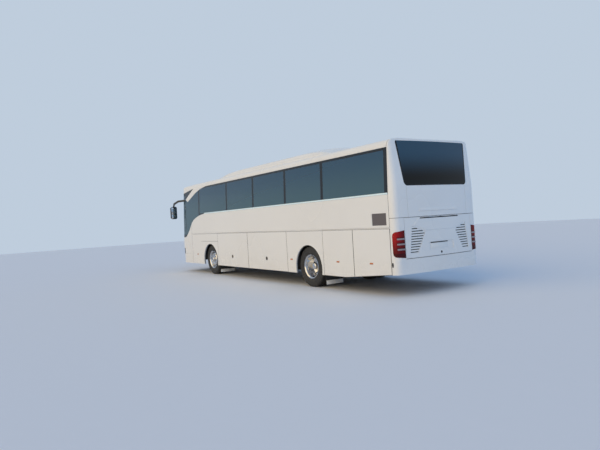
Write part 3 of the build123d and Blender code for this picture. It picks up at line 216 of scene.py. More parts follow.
class Finish:
    """One material and its nodes."""

    def __init__(self, name):
        self.material = bpy.data.materials.new(name)
        self.material.use_nodes = True
        self.tree = self.material.node_tree
        self.shader = self.tree.nodes["Principled BSDF"]
        self.place = self.node("ShaderNodeTexCoord").outputs["Object"]
        split = self.node("ShaderNodeSeparateXYZ", {}, {0: self.place})
        self.x, self.y, self.z = (Wire(self, socket) for socket in split.outputs)

    def node(self, kind, settings={}, inputs={}):
        """Adds a node: its settings first, then the values or links of its sockets."""
        made = self.tree.nodes.new(kind)
        for name, value in settings.items():
            setattr(made, name, value)
        self.join(made, inputs)
        return made

    def join(self, node, inputs):
        """Sets or links the sockets of a node."""
        for name, value in inputs.items():
            value = value.socket if isinstance(value, Wire) else value
            if isinstance(value, bpy.types.NodeSocket):
                self.tree.links.new(value, node.inputs[name])
            else:
                node.inputs[name].default_value = value

    def noise(self, scale, detail):
        """Soft noise in the frame's own metres."""
        made = self.node("ShaderNodeTexNoise", {}, {"Vector": self.place, "Scale": scale, "Detail": detail,
                                                    "Roughness": 0.55})
        return Wire(self, made.outputs["Fac"])

    def mix(self, factor, low, high):
        """A colour between low and high."""
        ends = [end if isinstance(end, bpy.types.NodeSocket) else (*end, 1) for end in (low, high)]
        made = self.node("ShaderNodeMix", {"data_type": "RGBA"}, {"Factor": factor, 6: ends[0], 7: ends[1]})
        return made.outputs[2]

    def bump(self, height, depth):
        """A normal from a height from 0 to 1 that is depth metres deep."""
        return self.node("ShaderNodeBump", {}, {"Height": height, "Distance": depth}).outputs["Normal"]

    def surface(self, **inputs):
        """Sets or links the shader's own sockets; underscores stand for spaces."""
        named = {name.replace("_", " "): value for name, value in inputs.items()}
        for name in ("Base Color", "Emission Color"):
            value = named.get(name)
            if value is not None and not isinstance(value, bpy.types.NodeSocket):
                named[name] = (*value, 1)
        self.join(self.shader, named)
        return self.material


def inside_body(finish):
    """1 on the inner faces of the walls and roof between the end caps, 0 on the outside."""
    depth = 0.6 * WALL
    across = abs(finish.y)
    fall = (finish.x - NOSE_FALL_X).most(0) * NOSE_FALL + (TAIL_FALL_X - finish.x).most(0) * TAIL_FALL
    under_crown = finish.z < ROOF_TOP_Z - depth - across * across * ROOF_CROWN - fall
    within = across < HALF - depth - (finish.z - SILL_Z).most(0) * WALL_LEAN
    corner_y, corner_z = across - ROOF_CORNER_Y, finish.z - ROOF_CORNER_Z + fall
    outside = corner_y * corner_y + corner_z * corner_z > ROOF_CORNER_R ** 2
    corner = (corner_y > 0) * (corner_z > 0) * outside
    return within * under_crown * (1 - corner) * (finish.x > CAP_SEAM_X) * (finish.x < NOSE_SEAM_X + 0.3)


def fixed_seams(finish):
    """1 in the grooves between fixed panels."""
    reach = 0.0042
    between = (finish.x > CAP_SEAM_X) * (finish.x < NOSE_SEAM_X)
    belt = finish.z.near(FLAP_TOP_Z, reach) * between
    cap = finish.x.near(CAP_SEAM_X, reach)
    nose = finish.x.near(NOSE_SEAM_X, reach) * (finish.z < 2.0)
    arch = finish.z.near(ARCH_SEAM_Z, reach) * finish.x.near(FRONT_AXLE_X + 0.06, 0.71)
    tail = finish.z.near(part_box("rear_cap")[0].z, reach) * (finish.x < CAP_SEAM_X)
    return belt.most(cap).most(nose).most(tail).most(arch)


def white_paint(colours):
    """Gloss white body paint: orange peel, dust low down, sealed seams, a dull lining inside."""
    finish = Finish("white_paint")
    low = 1 - finish.z.rise(SKIRT_Z, 1.05)
    patches, specks = finish.noise(2.2, 6).rise(0.38, 0.72), finish.noise(23.0, 2).rise(0.45, 0.8)
    dust = low * patches * 0.10 + low * specks * 0.05
    streak = finish.noise(0.6, 2).rise(0.3, 0.7)
    inner = inside_body(finish)
    base = finish.mix(streak * 0.05, colours.paint, colours.dust)
    base = finish.mix(dust, base, colours.dust)
    base = finish.mix(inner, base, colours.lining)
    base = finish.mix(fixed_seams(finish), base, colours.seam)
    peel = finish.noise(160.0, 2)
    rough = 0.24 + dust * 0.5 + inner * 0.5 + streak * 0.04
    return finish.surface(Base_Color=base, Roughness=rough, Specular_IOR_Level=0.35, Coat_Roughness=0.10,
                          Coat_Weight=0.2 * (1 - inner), Normal=finish.bump(peel, 0.00006))


def pane(name, colours, border, see_through=0.16, foot=(1.9, 1.5, 1.1), top=(1, 1, 1),
         span=(SILL_Z, GLASS_TOP_Z), gloss=0.5):
    """Tinted glass, black where border is 1; foot and top scale its colour below and above a span, which
    paints a reflection that changes with height.
    """
    finish = Finish(name)
    edge = border(finish)
    clear = 1 - edge
    haze = finish.noise(1.4, 3).rise(0.3, 0.75)
    # Painted reflection: the glass colour is scaled by foot below the span and by top above it, standing in
    # for what the glass reflects.
    shade = finish.z.rise(*span)
    tint_and_painted_reflection = finish.mix(shade, [channel * factor for channel, factor in zip(colours.glass, foot)],
                      [channel * factor for channel, factor in zip(colours.glass, top)])
    base = finish.mix(edge, tint_and_painted_reflection, colours.border)
    return finish.surface(Base_Color=base, Roughness=0.025 + haze * 0.02 + edge * 0.03,
                          Alpha=1 - clear * see_through, IOR=1.52, Specular_IOR_Level=gloss,
                          Normal=finish.bump(finish.noise(0.9, 1), 0.0012))


def side_border(finish):
    """Black print round the side panes: at the posts, the top, the sill and the rear end."""
    reach = 0.052
    edge = finish.z > GLASS_TOP_Z - 0.055
    for post in POSTS:
        edge = edge.most(finish.x.near(post, reach))
    sill = (finish.z < SILL_Z + 0.03) * (finish.x < POSTS[-1])
    return edge.most(sill).most(finish.x < CAP_SEAM_X + 0.10)


def rear_border(finish):
    """Narrow black print at the foot and the sides of the rear window."""
    lean = (finish.z - WINDOW_FOOT_Z) * 0.095
    return (finish.z < WINDOW_FOOT_Z + 0.030).most(abs(finish.y) - lean > WINDOW_HALVES[0] - 0.022)


def screen_border(finish):
    """Black print round the windscreen and its wrapped sides."""
    foot_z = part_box("windscreen")[0].z
    return (finish.z < foot_z + 0.10).most(finish.z > 2.93).most(finish.x < NOSE_X - 0.62)


def door_border(finish):
    """Black print round the door panes."""
    foot_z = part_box("door_glass")[0].z
    edge = (finish.z < foot_z + 0.07).most(finish.z > 2.54)
    front_door, mid_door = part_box("front_door"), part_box("mid_door")
    for x in (front_door[0].x, front_door[1].x, mid_door[0].x, mid_door[1].x):
        edge = edge.most(finish.x.near(x, 0.085))
    return edge


def mirror_metal(name, tone, roughness=0.09):
    """Polished metal with faint brushing and grime."""
    finish = Finish(name)
    grime = finish.noise(14.0, 5).rise(0.45, 0.85)
    return finish.surface(Base_Color=finish.mix(grime * 0.35, tone, [0.5 * channel for channel in tone]),
                          Metallic=1.0, Roughness=roughness + grime * 0.18,
                          Normal=finish.bump(finish.noise(60.0, 3), 0.0002))


def tyre_rubber(colours):
    """Black rubber with dust on the tread and fine moulding lines."""
    finish = Finish("tyre_rubber")
    dust = finish.noise(9.0, 6).rise(0.42, 0.8)
    base = finish.mix(dust * 0.28, colours.rubber, [0.35 * channel for channel in colours.dust])
    grain = finish.noise(240.0, 3)
    return finish.surface(Base_Color=base, Roughness=0.62 + dust * 0.25, Normal=finish.bump(grain, 0.0006))


def plain(name, tone, roughness, metallic=0.0, grain=90.0, depth=0.0005, worn=0.3):
    """A moulded or cast surface with grain and uneven gloss."""
    finish = Finish(name)
    wear = finish.noise(6.0, 5).rise(0.35, 0.8)
    worn_tone = [min(1, 1.8 * channel + 0.01) for channel in tone]
    base = finish.mix(wear * worn, tone, worn_tone)
    return finish.surface(Base_Color=base, Roughness=roughness + wear * 0.12, Metallic=metallic,
                          Normal=finish.bump(finish.noise(grain, 3), depth))


def tail_lens(colours):
    """Red lens, deeper inwards and downwards, with a dark inner edge, a painted shadow along each bar and
    prisms behind the surface.
    """
    finish = Finish("tail_lens")
    low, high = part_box("tail_lamps")
    across = abs(finish.y)
    dark = (across < LAMP_INNER_Y + 0.018).most(finish.z < low.z + 0.10)
    deep = 1 - across.rise(LAMP_INNER_Y, HALF) * finish.z.rise(low.z + 0.1, high.z - 0.1)
    base = finish.mix(deep * 0.85, colours.red, [0.22 * channel for channel in colours.red])
    # Painted shadow: a dark band along each clear bar stands in for the shade that the bar throws on the
    # lens.
    for height in BAR_HEIGHTS:
        painted_bar_shadow = finish.z.near(height + BAR_HALF + 0.010, 0.012)
        dark = dark.most(painted_bar_shadow * (finish.x < high.x - 0.075))
    base = finish.mix(dark * 0.7, base, [0.03, 0.002, 0.003])
    prism = finish.z.wave(0.012) * 0.5 + finish.y.wave(0.012) * 0.5
    return finish.surface(Base_Color=base, Roughness=0.16 + prism * 0.10, Specular_IOR_Level=0.22,
                          Normal=finish.bump(prism, 0.0010))


def clear_bar(colours):
    """Clear ribbed lens of the tail lamps' bars, pinkish from the red behind it."""
    finish = Finish("clear_bar")
    ribs = finish.y.wave(0.010)
    base = finish.mix(ribs * 0.35, [0.42 * channel for channel in colours.clear], [0.30, 0.10, 0.10])
    return finish.surface(Base_Color=base, Roughness=0.12 + ribs * 0.1, Specular_IOR_Level=0.4,
                          Normal=finish.bump(ribs, 0.001))


def head_lens(colours):
    """Clear headlamp glass with fine upright flutes."""
    finish = Finish("head_lens")
    flutes = finish.y.wave(0.012)
    base = finish.mix(flutes * 0.5, colours.clear, [0.55 * channel for channel in colours.clear])
    return finish.surface(Base_Color=base, Roughness=0.05 + flutes * 0.06, Metallic=0.4, Coat_Weight=1.0,
                          Coat_Roughness=0.02, Normal=finish.bump(flutes, 0.002))


def marker_lens(colours):
    """Ribbed amber lens."""
    finish = Finish("amber_lens")
    ribs = finish.x.wave(0.006)
    base = finish.mix(ribs * 0.35, colours.amber, [0.3 * channel for channel in colours.amber])
    return finish.surface(Base_Color=base, Roughness=0.15 + ribs * 0.1, Coat_Weight=0.8, Coat_Roughness=0.05,
                          Normal=finish.bump(ribs, 0.0008))


def woven_cloth(colours):
    """Seat cloth: a weave, a lighter fleck and upright sewn channels."""
    finish = Finish("seat_cloth")
    weave = finish.y.wave(0.004) * finish.z.wave(0.004)
    channel = finish.y.wave(0.075).rise(0.0, 0.25)
    fleck = finish.noise(70.0, 4).rise(0.55, 0.7)
    base = finish.mix(fleck * 0.5, colours.cloth, [0.25, 0.28, 0.36])
    return finish.surface(Base_Color=base, Roughness=0.82 + weave * 0.12, Sheen_Weight=0.3,
                          Normal=finish.bump(weave * 0.2 + channel * 0.8, 0.006))


def mesh_plate():
    """Fine mesh of the engine air intake."""
    finish = Finish("intake_mesh")
    cells = (finish.x.wave(0.014) * finish.z.wave(0.014)).rise(0.25, 0.4)
    base = finish.mix(cells, [0.30, 0.28, 0.30], [0.12, 0.11, 0.12])
    return finish.surface(Base_Color=base, Roughness=0.55 + cells * 0.2, Normal=finish.bump(1 - cells, 0.003))


# Lamp measures that both the lens finish and the lamp's bars use
LAMP_INNER_Y = 1.042
BAR_HEIGHTS = (0.993, 1.100, 1.207)
BAR_HALF = 0.018

NODE_FINISHES = {
    "paint": ("arch_panels", "engine_lid", "front_bumper", "front_door", "front_flap", "front_mask",
              "mid_door", "rear_bumper", "rear_cap", "rear_panel", "roof", "roof_fairing", "side_wall_left",
              "side_wall_right", *FLAPS),
    "side_pane": ("side_glass",),
    "rear_pane": ("rear_window",),
    "screen": ("windscreen",),
    "door_pane": ("door_glass",),
    "steel": ("chassis_rails", "front_axle", "rear_axle", "knuckle_left", "knuckle_right"),
    "casting": ("engine",),
    "sheet": ("wheel_housings", "luggage_bay", "stairwell"),
    "floor": ("floor_deck",),
    "plastic": ("mirrors", "dashboard", "steering_wheel"),
    "hatch": ("roof_hatches",),
    "rubber": ("mudflaps",),
    "tail_lens": ("tail_lamps",),
    "head_lens": ("headlamps",),
    "intake": ("intake_grilles",),
}


def make_finishes(colours):
    """Every material of the coach, by a short name."""
    return {
        "paint": white_paint(colours),
        "side_pane": pane("side_pane", colours, side_border),
        # Painted reflection: the rear pane's colour goes black below the span and pale above it, for the dark
        # ground and the sky that it reflects.
        "rear_pane": pane("rear_pane", colours, rear_border, see_through=0.0, foot=(0, 0, 0),
                          top=(0.85, 0.85, 0.75), span=(2.45, 3.05), gloss=0.28),
        "screen": pane("screen_pane", colours, screen_border, 0.45),
        "door_pane": pane("door_pane", colours, door_border, 0.25),
        "steel": plain("chassis_steel", colours.steel, 0.55, 0.4),
        "casting": plain("engine_casting", [0.20, 0.20, 0.21], 0.50, 0.7, 40.0, 0.002),
        "sheet": plain("bay_sheet", [0.030, 0.030, 0.032], 0.75),
        "floor": plain("floor_covering", [0.11, 0.11, 0.12], 0.70),
        "plastic": plain("black_plastic", colours.plastic, 0.42),
        "lock": plain("lock_metal", [0.035, 0.024, 0.014], 0.30, 0.3),
        "hatch": plain("hatch_plastic", [0.70, 0.70, 0.69], 0.40),
        "rubber": tyre_rubber(colours),
        "tail_lens": tail_lens(colours),
        "clear_bar": clear_bar(colours),
        # A real ledge, but its pale blue is a painted reflection of the sky on the ledge under the windows.
        "trim": plain("sill_strip_painted_reflection", [0.74, 0.90, 0.95], 0.12, 0.0, 200.0, 0.0001, 0.1),
        # Painted shade: the black of the sheets and strips set in the louvres and the air slot.
        "dark": plain("painted_shade_black", [0.004, 0.004, 0.005], 0.80),
        "head_lens": plain("headlamp_housing", colours.border, 0.06, 0.0, 120.0, 0.0002),
        "clear_lamp": head_lens(colours),
        "intake": mesh_plate(),
        "metal": mirror_metal("polished_metal", colours.metal),
        "mirror": mirror_metal("mirror_glass", colours.metal, 0.02),
        "amber": marker_lens(colours),
        "cloth": woven_cloth(colours),
        "plate": plain("blank_plate", colours.plate, 0.35, 0.0, 200.0, 0.0001, 0.05),
    }


FINISHES = {}


def finish(name):
    """The finish of that short name; all are made at the first call."""
    if not FINISHES:
        FINISHES.update(make_finishes(bpy.context.scene.coach_colours))
    return FINISHES[name]


# Meshes

def make_piece(name, bm, finish_name, body, sharp=32):
    """A new object from a bmesh, with its finish, riding on a body of the frame."""
    if not bm.faces:
        raise RuntimeError(f"{name} has no faces")
    bmesh.ops.recalc_face_normals(bm, faces=bm.faces)
    mesh = bpy.data.meshes.new(name)
    bm.to_mesh(mesh)
    bm.free()
    mesh.materials.append(finish(finish_name))
    mesh.shade_smooth()
    mesh.set_sharp_from_angle(angle=math.radians(sharp))
    piece = bpy.data.objects.new(name, mesh)
    bpy.context.scene.collection.objects.link(piece)
    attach(piece, body)
    return piece


def lathe(bm, sections, centre, outboard, closed=True):
    """A ring through one section per step round a wheel's axle; a section is a row of (width, radius)."""
    rings = []
    for step, section in enumerate(sections):
        angle = 2 * math.pi * step / len(sections)
        across, up = math.cos(angle), math.sin(angle)
        rings.append([bm.verts.new(centre + Vector((r * across, outboard * w, r * up))) for w, r in section])
    points = len(rings[0])
    for ring, following in zip(rings, rings[1:] + rings[:1]):
        for here in range(points if closed else points - 1):
            after = (here + 1) % points
            bm.faces.new((ring[here], ring[after], following[after], following[here]))
    if not closed:
        bm.faces.new([ring[0] for ring in rings])
        bm.faces.new([ring[-1] for ring in rings])


def bevelled_box(bm, low, high, bevel):
    """A box with rounded edges, given by its corners."""
    low, high = Vector(low), Vector(high)
    made = bmesh.ops.create_cube(bm, size=1)["verts"]
    for vert in made:
        vert.co = Vector([(low[i] + high[i]) / 2 + vert.co[i] * (high[i] - low[i]) for i in range(3)])
    edges = {edge for vert in made for edge in vert.link_edges}
    bmesh.ops.bevel(bm, geom=list(edges), offset=bevel, segments=2, profile=0.5, affect="EDGES")


def disc(bm, centre, axis, radius, depth, sides=24, bevel=0.0):
    """A round boss along an axis, with a softened outer rim."""
    turn = Vector((0, 0, 1)).rotation_difference(Vector(axis)).to_matrix().to_4x4()
    rows = [(radius, -depth / 2), (radius, depth / 2 - bevel), (radius - bevel, depth / 2)]
    angles = [2 * math.pi * step / sides for step in range(sides)]
    rings = []
    for size, height in rows:
        points = [Vector((size * math.cos(angle), size * math.sin(angle), height)) for angle in angles]
        rings.append([bm.verts.new(Vector(centre) + turn @ point) for point in points])
    for ring, following in zip(rings, rings[1:]):
        for here in range(sides):
            after = (here + 1) % sides
            bm.faces.new((ring[here], ring[after], following[after], following[here]))
    bm.faces.new(rings[0])
    bm.faces.new(rings[-1])


def shell(bm, outer, inner):
    """A closed thin body between two grids of points with the same rows and columns."""
    front, back = ([[bm.verts.new(point) for point in row] for row in grid] for grid in (outer, inner))
    rows, columns = len(outer), len(outer[0])
    for grid in (front, back):
        for low, high in zip(grid, grid[1:]):
            for at in range(columns - 1):
                bm.faces.new((low[at], low[at + 1], high[at + 1], high[at]))
    edge = [(row, 0) for row in range(rows)] + [(rows - 1, at) for at in range(1, columns)]
    edge += [(row, columns - 1) for row in reversed(range(rows - 1))]
    edge += [(0, at) for at in reversed(range(1, columns - 1))]
    for (row, at), (row_after, at_after) in zip(edge, edge[1:] + edge[:1]):
        bm.faces.new((front[row][at], front[row_after][at_after], back[row_after][at_after], back[row][at]))


def rod(bm, points, radius):
    """A round bar along straight runs."""
    for start, end in zip(points, points[1:]):
        start, end = Vector(start), Vector(end)
        disc(bm, (start + end) / 2, end - start, radius, (end - start).length + radius, 12, radius * 0.3)


# The body's ends: how far the middle bulges and the corners' radius, the heights where the outline bends,
# and how far it leans in for each metre of height between the bends
TAIL_BULGE, TAIL_CORNER_R = 0.07, 0.15
TAIL_FOOT_Z, TAIL_BEND_Z, TAIL_ROUND_Z = 0.785, 2.33, 3.228
TAIL_ROUND_R = 0.07
TAIL_LEANS = (0.016, 0.1)
NOSE_BULGE, NOSE_CORNER_R = 0.15, 0.28
NOSE_CREST_Z, NOSE_BEND_Z = 1.1, 2.2
NOSE_LEANS = (0.05, 0.11, 0.15)


def end_stand_in(y, bulge, corner):
    """How far a bulged end with round corners stands in from its tip at a width."""
    radius = (HALF * HALF + bulge * bulge) / (2 * bulge)
    centre_y = HALF - corner
    turn = math.asin(centre_y / (radius - corner))
    if abs(y) < radius * math.sin(turn):
        return radius - math.sqrt(radius * radius - y * y)
    centre = radius - (radius - corner) * math.cos(turn)
    return centre - math.sqrt(max(0.0, corner * corner - (abs(y) - centre_y) ** 2))


def tail_x(y, z):
    """Where the tail's outside stands at a width and a height."""
    low_lean, high_lean = TAIL_LEANS
    lean = low_lean * (min(z, TAIL_BEND_Z) - TAIL_FOOT_Z) + high_lean * max(0.0, z - TAIL_BEND_Z)
    into = min(TAIL_ROUND_R - 0.001, max(0.0, z - TAIL_ROUND_Z))
    rounded = TAIL_ROUND_R - math.sqrt(TAIL_ROUND_R ** 2 - into ** 2)
    return TAIL_X + lean + rounded + end_stand_in(y, TAIL_BULGE, TAIL_CORNER_R)


def nose_x(y, z):
    """Where the nose's outside stands at a width and a height."""
    below, above = max(0.0, NOSE_CREST_Z - z), max(0.0, z - NOSE_BEND_Z)
    between = max(0.0, min(z, NOSE_BEND_Z) - NOSE_CREST_Z)
    lean = sum(run * slope for run, slope in zip((below, between, above), NOSE_LEANS))
    return NOSE_TIP_X - lean - end_stand_in(y, NOSE_BULGE, NOSE_CORNER_R)


def stuffed_pad(bm, centre, half, lean, power=4.5):
    """A crowned pad with rounded corners: a cube's grid pushed out to a rounded form, leaning about Y."""
    before = len(bm.verts)
    made = bmesh.ops.create_cube(bm, size=2)["verts"]
    edges = list({edge for vert in made for edge in vert.link_edges})
    bmesh.ops.subdivide_edges(bm, edges=edges, cuts=5, use_grid_fill=True)
    bm.verts.ensure_lookup_table()
    verts = bm.verts[before:]
    turn = Matrix.Rotation(lean, 3, "Y")
    for vert in verts:
        spread = sum(abs(value) ** power for value in vert.co) ** (1 / power)
        rounded = Vector([value / spread * size for value, size in zip(vert.co, half)])
        vert.co = Vector(centre) + turn @ rounded


def solids(node):
    """The (lowest, highest) corners of each separate solid in a frame node."""
    bm = bmesh.new()
    bm.from_mesh(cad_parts[node].data)
    bmesh.ops.remove_doubles(bm, verts=bm.verts, dist=1e-5)
    left, found = set(bm.verts), []
    while left:
        group, fringe = set(), [left.pop()]
        while fringe:
            vert = fringe.pop()
            group.add(vert)
            near = {edge.other_vert(vert) for edge in vert.link_edges} & left
            left -= near
            fringe.extend(near)
        found.append((Vector([min(v.co[i] for v in group) for i in range(3)]),
                      Vector([max(v.co[i] for v in group) for i in range(3)])))
    bm.free()
    return sorted(found, key=lambda pair: tuple(pair[0]))


# Wheels

# Outlines of tyre, flange and discs, as (distance from the tyre's middle plane, radius)
TYRE_HALF = 0.146
TYRE_RADIUS = 0.520
SIDEWALL = [(0.116, 0.2893), (0.117, 0.302), (0.121, 0.315), (0.131, 0.332), (0.140, 0.356), (0.1445, 0.385),
            (0.146, 0.400), (0.146, 0.408), (0.1435, 0.412), (0.1435, 0.436), (0.146, 0.440), (0.1455, 0.452),
            (0.141, 0.470), (0.136, 0.486)]
SHOULDER = [(0.131, 0.503), (0.121, 0.515)]
GROOVE_PLACES = (-0.078, -0.027, 0.027, 0.078)
GROOVE_SLOPE = 0.002
ZIGZAG = 0.0025
SHOULDER_NOTCH = 0.010
TREAD_HALF = 0.106
FLANGE = [(0.116, 0.277), (0.121, 0.288), (0.128, 0.297), (0.134, 0.302), (0.134, 0.308), (0.129, 0.311),
          (0.123, 0.303), (0.119, 0.2885)]
FRONT_DISC = [(0.150, 0.003), (0.150, 0.032), (0.146, 0.060), (0.134, 0.080), (0.104, 0.088), (0.101, 0.100),
              (0.104, 0.112), (0.108, 0.150), (0.106, 0.188), (0.098, 0.205), (0.078, 0.233), (0.064, 0.247),
              (0.064, 0.258), (0.098, 0.267)]
FRONT_BACK = [(-0.080, 0.262), (0.048, 0.248), (0.066, 0.224), (0.086, 0.198), (0.094, 0.184), (0.092, 0.110),
              (-0.070, 0.104), (-0.070, 0.003)]
REAR_DISC = [(0.060, 0.003), (0.060, 0.040), (0.054, 0.066), (0.040, 0.080), (-0.020, 0.088), (-0.100, 0.096),
             (-0.146, 0.104), (-0.150, 0.116), (-0.150, 0.188), (-0.144, 0.206), (-0.126, 0.233),
             (-0.112, 0.247), (-0.098, 0.256), (0.090, 0.264)]
REAR_BACK = [(-0.128, 0.262), (-0.158, 0.228), (-0.164, 0.206), (-0.164, 0.118), (-0.480, 0.110),
             (-0.480, 0.003)]
INNER_RIM_BACK = [(-0.110, 0.265), (0.110, 0.265)]
TWIN_PITCH = 0.332
BOLT_CIRCLE = 0.1675
BOLTS = 10
HAND_HOLE_CIRCLE = 0.226
DISC_FACES = {"front": 0.106, "rear": -0.150}
NUT_OUT, NUT_DEEP = 0.012, 0.026
CAP_OUT, CAP_DEEP, CAP_SHARE = 0.028, 0.020, 0.34


def tyre_sections(sizes):
    """One half-outline per step: ribs with zigzag grooves, notched shoulders, moulded sidewall rings."""
    sections = []
    for step in range(sizes.tyre_steps):
        shift = ZIGZAG if step % 6 < 3 else -ZIGZAG
        notch = SHOULDER_NOTCH if step % 4 == 0 else 0.0
        inner = [(-w, r) for w, r in SIDEWALL] + [(-w, r - notch) for w, r in SHOULDER]
        tread = []
        for place in GROOVE_PLACES:
            left, right = place - sizes.groove / 2 + shift, place + sizes.groove / 2 + shift
            bottom = TYRE_RADIUS - sizes.groove_depth
            tread += [(left, TYRE_RADIUS), (left + GROOVE_SLOPE, bottom)]
            tread += [(right - GROOVE_SLOPE, bottom), (right, TYRE_RADIUS)]
        outer = [(w, r - notch) for w, r in reversed(SHOULDER)] + [(w, r) for w, r in reversed(SIDEWALL)]
        sections.append(inner + [(-TREAD_HALF, TYRE_RADIUS)] + tread + [(TREAD_HALF, TYRE_RADIUS)] + outer)
    return sections


def rim_outline(disc_side, back_side):
    """A rim's closed half section, from the hub's face over the flanges and back behind the disc."""
    inboard = [(-w, r) for w, r in reversed(FLANGE)]
    return disc_side + FLANGE + inboard + back_side


def on_circle(centre, radius, share, out=0.0):
    """A point round a wheel's axle, at a share of a full turn and so far along the axle."""
    angle = 2 * math.pi * share
    return centre + Vector((radius * math.cos(angle), out, radius * math.sin(angle)))


def drilled(bm, centre, outboard, hole):
    """The rim with its hand holes cut through the disc."""
    mesh, cutter_mesh = bpy.data.meshes.new("rim_blank"), bpy.data.meshes.new("hand_holes")
    bmesh.ops.recalc_face_normals(bm, faces=bm.faces)
    bm.to_mesh(mesh)
    bm.free()
    cutter = bmesh.new()
    for bolt in range(BOLTS):
        place = on_circle(centre, HAND_HOLE_CIRCLE, (bolt + 0.5) / BOLTS)
        disc(cutter, place, (0, outboard, 0), hole / 2, 0.50, 20)
    bmesh.ops.recalc_face_normals(cutter, faces=cutter.faces)
    cutter.to_mesh(cutter_mesh)
    cutter.free()
    blank = bpy.data.objects.new("rim_blank", mesh)
    holes = bpy.data.objects.new("hand_holes", cutter_mesh)
    for obj in (blank, holes):
        bpy.context.scene.collection.objects.link(obj)
    cut = blank.modifiers.new("hand_holes", "BOOLEAN")
    cut.object = holes
    cut.operation = "DIFFERENCE"
    cut.solver = "EXACT"
    bpy.context.view_layer.update()
    made = bmesh.new()
    made.from_mesh(blank.evaluated_get(bpy.context.evaluated_depsgraph_get()).data)
    for obj in (blank, holes):
        bpy.data.objects.remove(obj)
    return made


def wheel_nuts(bm, centre, outboard, face, sizes):
    """A ring of hexagonal nuts with round caps on a wheel disc's face."""
    outwards = (0, outboard, 0)
    for bolt in range(BOLTS):
        nut = on_circle(centre, BOLT_CIRCLE, bolt / BOLTS, outboard * (face + NUT_OUT))
        cap = on_circle(centre, BOLT_CIRCLE, bolt / BOLTS, outboard * (face + CAP_OUT))
        disc(bm, nut, outwards, sizes.nut / 2, NUT_DEEP, 6, 0.003)
        disc(bm, cap, outwards, sizes.nut * CAP_SHARE, CAP_DEEP, 12, 0.004)


WHEELS = [(axle, side) for axle in ("front", "rear") for side in ("left", "right")]


def wheel_centre(axle, side):
    """Where the outer wheel's middle plane meets the axle."""
    low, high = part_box(f"tyre_front_{side}" if axle == "front" else f"tyres_rear_{side}")
    outboard = 1 if side == "left" else -1
    outer_y = (high.y if outboard > 0 else low.y) - outboard * TYRE_HALF
    return Vector(((low.x + high.x) / 2, outer_y, (low.z + high.z) / 2)), outboard


class COACH_OT_add_tyres(bpy.types.Operator):
    """Adds the six tyres, with grooved treads, in place of the plain ones"""

    bl_idname = "coach.add_tyres"
    bl_label = "Add tyres"

    def execute(self, context):
        sizes = context.scene.coach_sizes
        for axle, side in WHEELS:
            centre, outboard = wheel_centre(axle, side)
            bm = bmesh.new()
            lathe(bm, tyre_sections(sizes), centre, outboard)
            if axle == "rear":
                lathe(bm, tyre_sections(sizes), centre - Vector((0, outboard * TWIN_PITCH, 0)), outboard)
            piece = make_piece(f"{axle}_{side}_tyre", bm, "rubber", f"wheel_{axle}_{side}", 50)
            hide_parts(f"tyre_front_{side}" if axle == "front" else f"tyres_rear_{side}")
        return {"FINISHED"}


class COACH_OT_add_rims(bpy.types.Operator):
    """Adds the polished rims with hand holes, hubs and nuts in place of the plain ones"""

    bl_idname = "coach.add_rims"
    bl_label = "Add rims"

    def execute(self, context):
        sizes = context.scene.coach_sizes
        for axle, side in WHEELS:
            centre, outboard = wheel_centre(axle, side)
            disc_side, back_side = (FRONT_DISC, FRONT_BACK) if axle == "front" else (REAR_DISC, REAR_BACK)
            bm = bmesh.new()
            lathe(bm, [rim_outline(disc_side, back_side)] * sizes.rim_steps, centre, outboard, closed=False)
            bm = drilled(bm, centre, outboard, sizes.hand_hole)
            if axle == "rear":
                inner = FLANGE + [(-w, r) for w, r in reversed(FLANGE)] + INNER_RIM_BACK
                lathe(bm, [inner] * sizes.rim_steps, centre - Vector((0, outboard * TWIN_PITCH, 0)), outboard)
            wheel_nuts(bm, centre, outboard, DISC_FACES[axle], sizes)
            piece = make_piece(f"{axle}_{side}_rim", bm, "metal", f"wheel_{axle}_{side}")
            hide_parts(f"rim_front_{side}" if axle == "front" else f"rims_rear_{side}")
        return {"FINISHED"}


# Body trim

SKIRT_BENDS = (TAIL_X + 0.3, REAR_AXLE_X - 1.5)
SKIRT_RISE = 0.0844
SEAL_DEEP = 0.030
SEAL_PROUD = 0.0008
SEAL_ROUND = 0.0006
SEAL_UNDER_RAIL = 0.022


def skirt_z(x):
    """The lower edge of the side flaps, which rises towards the tail."""
    return SKIRT_Z + max(0.0, SKIRT_BENDS[1] - max(x, SKIRT_BENDS[0])) * SKIRT_RISE


class COACH_OT_add_flap_seals(bpy.types.Operator):
    """Adds the dark rubber edging of each side flap"""

    bl_idname = "coach.add_flap_seals"
    bl_label = "Add flap seals"

    def execute(self, context):
        seal = context.scene.coach_sizes.seal
        for flap in FLAPS:
            low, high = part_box(flap)
            outer = high.y if flap.endswith("left") else low.y
            y0, y1 = sorted((outer, outer - math.copysign(SEAL_DEEP, outer)))
            y0, y1 = y0 - SEAL_PROUD, y1 + SEAL_PROUD
            top = high.z - SEAL_UNDER_RAIL
            stations = [low.x, *(x for x in SKIRT_BENDS if low.x < x < high.x), high.x]
            foot = [[[(x, y, skirt_z(x) + rise) for x in stations] for rise in (-SEAL_PROUD, seal)]
                    for y in (y0, y1)]
            bm = bmesh.new()
            shell(bm, *foot)
            for x0, x1 in ((low.x - SEAL_PROUD, low.x + seal), (high.x - seal, high.x + SEAL_PROUD)):
                bevelled_box(bm, (x0, y0, skirt_z(x0) + 0.002), (x1, y1, top), SEAL_ROUND)
            make_piece(f"{flap}_seal", bm, "rubber", flap)
        return {"FINISHED"}


LOCK_Z = 0.675
LID_LOCK = (0.02, 0.862)
OVAL_X, OVAL_Z = CAP_SEAM_X - 0.034, 0.679
OVAL_LONG, OVAL_TALL = 0.046, 0.105


